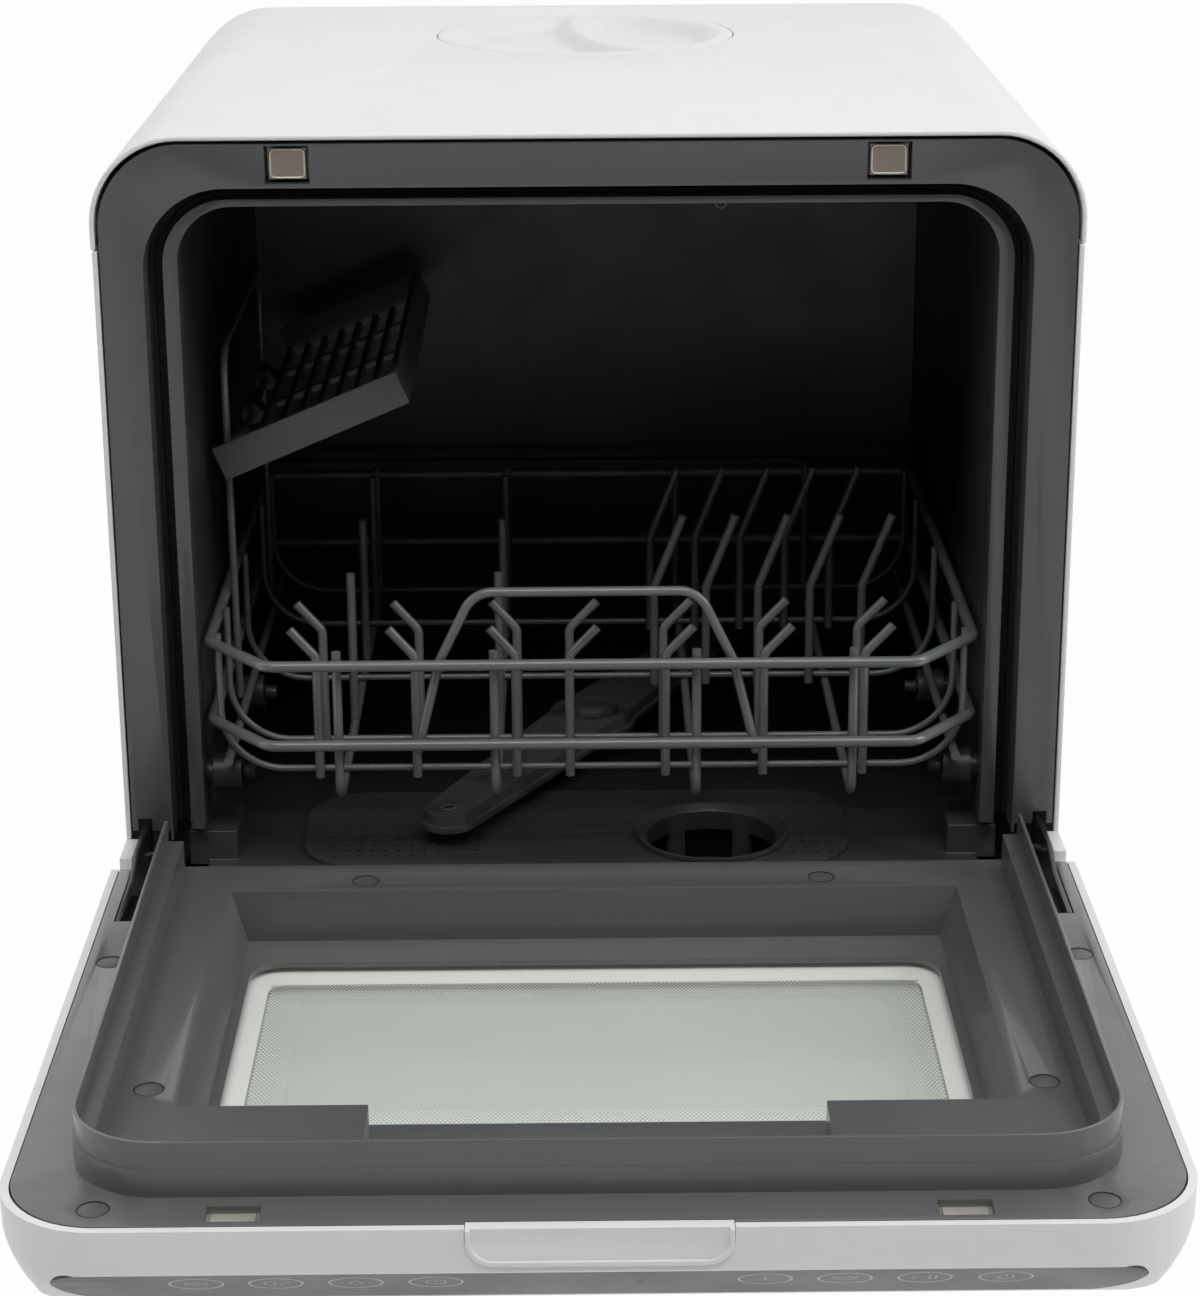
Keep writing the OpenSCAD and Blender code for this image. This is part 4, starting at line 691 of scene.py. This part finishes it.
def sign(kind, cx):
    """The lines of a small generic sign, each with whether it closes on itself."""
    s = MARK_S
    if kind == "waves":
        return [([(cx - 4 + k, s + (1.1 if k % 2 else -1.1) + d) for k in range(9)], False)
                for d in (-1, 1.4)]
    if kind == "ring":
        return [(ellipse(cx - 2, s, 2, 2), True), ([(cx + 1, s - 2), (cx + 5, s + 2)], False)]
    if kind == "diamond":
        return [([(cx, s + 3), (cx + 2.4, s - 0.6), (cx, s - 2.6), (cx - 2.4, s - 0.6)], True)]
    if kind == "clock":
        return [(ellipse(cx, s, 3.4, 2.8), True), ([(cx, s + 1.6), (cx, s), (cx + 1.8, s)], False)]
    if kind == "plus":
        return [([(cx - 2.4, s), (cx + 2.4, s)], False), ([(cx, s - 2.4), (cx, s + 2.4)], False)]
    if kind == "bowl":
        return [(ellipse(cx, s + 1, 4, 3, 180, 360), False), ([(cx - 4.6, s + 1), (cx + 4.6, s + 1)], False)]
    if kind == "play_pause":
        return [([(cx - 4, s - 2), (cx - 4, s + 2), (cx - 0.6, s)], True),
                ([(cx + 1.6, s - 2), (cx + 1.6, s + 2)], False),
                ([(cx + 3.8, s - 2), (cx + 3.8, s + 2)], False)]
    return [(ellipse(cx, s - 0.2, 2.8, 2.6, -230, 50), False), ([(cx, s + 0.4), (cx, s + 3)], False)]


def make_marks():
    """The touch marks, each a sign in an oval, and the small round sensor."""
    verts, faces = [], []
    for cx, kind in MARKS:
        lines = [(ellipse(cx, MARK_S, OVAL_X, OVAL_S, steps=64), OVAL_LINE, True)]
        lines += [(points, SIGN_LINE, closed) for points, closed in sign(kind, cx)]
        for points, width, closed in lines:
            line_verts, line_faces = stroke(points, width, closed)
            base = len(verts)
            verts += [on_slope(x, s, LIFT) for x, s in line_verts]
            faces += [tuple(base + i for i in face) for face in line_faces]
    piece("touch_marks", verts, faces, "mark", "door", smooth=False)
    dot = [on_slope(x, s, LIFT) for x, s in circle(SENSOR_X, SENSOR_S, SENSOR_R, 12)]
    piece("strip_sensor", dot, [tuple(range(12))], "black", "door", smooth=False)


make_marks()

# ---------- small mouldings ----------

HOOK_X, HOOK_Y, HOOK_Z = 56.8, -179.5, 386.6
HOOK_HALF, HOOK_DEEP, HOOK_WIRE = 2.6, 3.6, 0.55
STRIKE_EDGE, STRIKE_CORNER = 0.6, 1.8     # half the width of the bright edge, and its corner radius
STRIKE_BACK = 1.2                         # how far the back plate reaches past the front one
JET_X, JET_Y, ARM_TOP = -66.3, -172.1, 104.0
JET_R, JET_BEAD, JET_HOLE = 3.0, 0.55, 2.5
JET_STEPS = 24


def mouth_hook():
    """The small hook under the top of the mouth."""
    path = [(x, HOOK_Y, z) for x, z in (
        (HOOK_X + HOOK_HALF * math.cos(math.radians(a)), HOOK_Z + HOOK_DEEP * math.sin(math.radians(a)))
        for a in range(150, 391, 12))]
    tube("mouth_hook", path, HOOK_WIRE, "grey", "cabinet")


def strike_edges():
    """The bright pressed edge round each strike plate."""
    inset = STRIKE_BACK + STRIKE_EDGE
    for side, ((x0, x1), (front, _), (z0, z1)) in zip(("left", "right"), islands("latch_strikes")):
        middle = (x0 + x1) / 2
        edge = rounded((x1 - x0) / 2 - inset, z0 + inset, z1 - inset, STRIKE_CORNER)
        path = [(middle + x, front, z) for x, z in edge]
        tube("strike_edge_" + side, path, STRIKE_EDGE, "latch", "cabinet", closed=True,
             sides=10)


def arm_jet():
    """The jet near the spray arm's end: a pressed ring round a small hole, which is a flat disc of painted
    shade.
    """
    ring = [(x, y, ARM_TOP + 0.2) for x, y in circle(JET_X, JET_Y, JET_R, JET_STEPS)]
    hole = [(x, y, ARM_TOP + 0.15) for x, y in circle(JET_X, JET_Y, JET_HOLE, JET_STEPS)]
    tube("jet_ring", ring, JET_BEAD, "wire", "spray_arm_body", closed=True, sides=10)
    # The hole is only a flat dark disc on the arm: painted shade.
    piece("jet_hole", hole, [tuple(range(JET_STEPS))], "painted_gap_shade", "spray_arm_body",
          smooth=False)


mouth_hook()
strike_edges()
arm_jet()
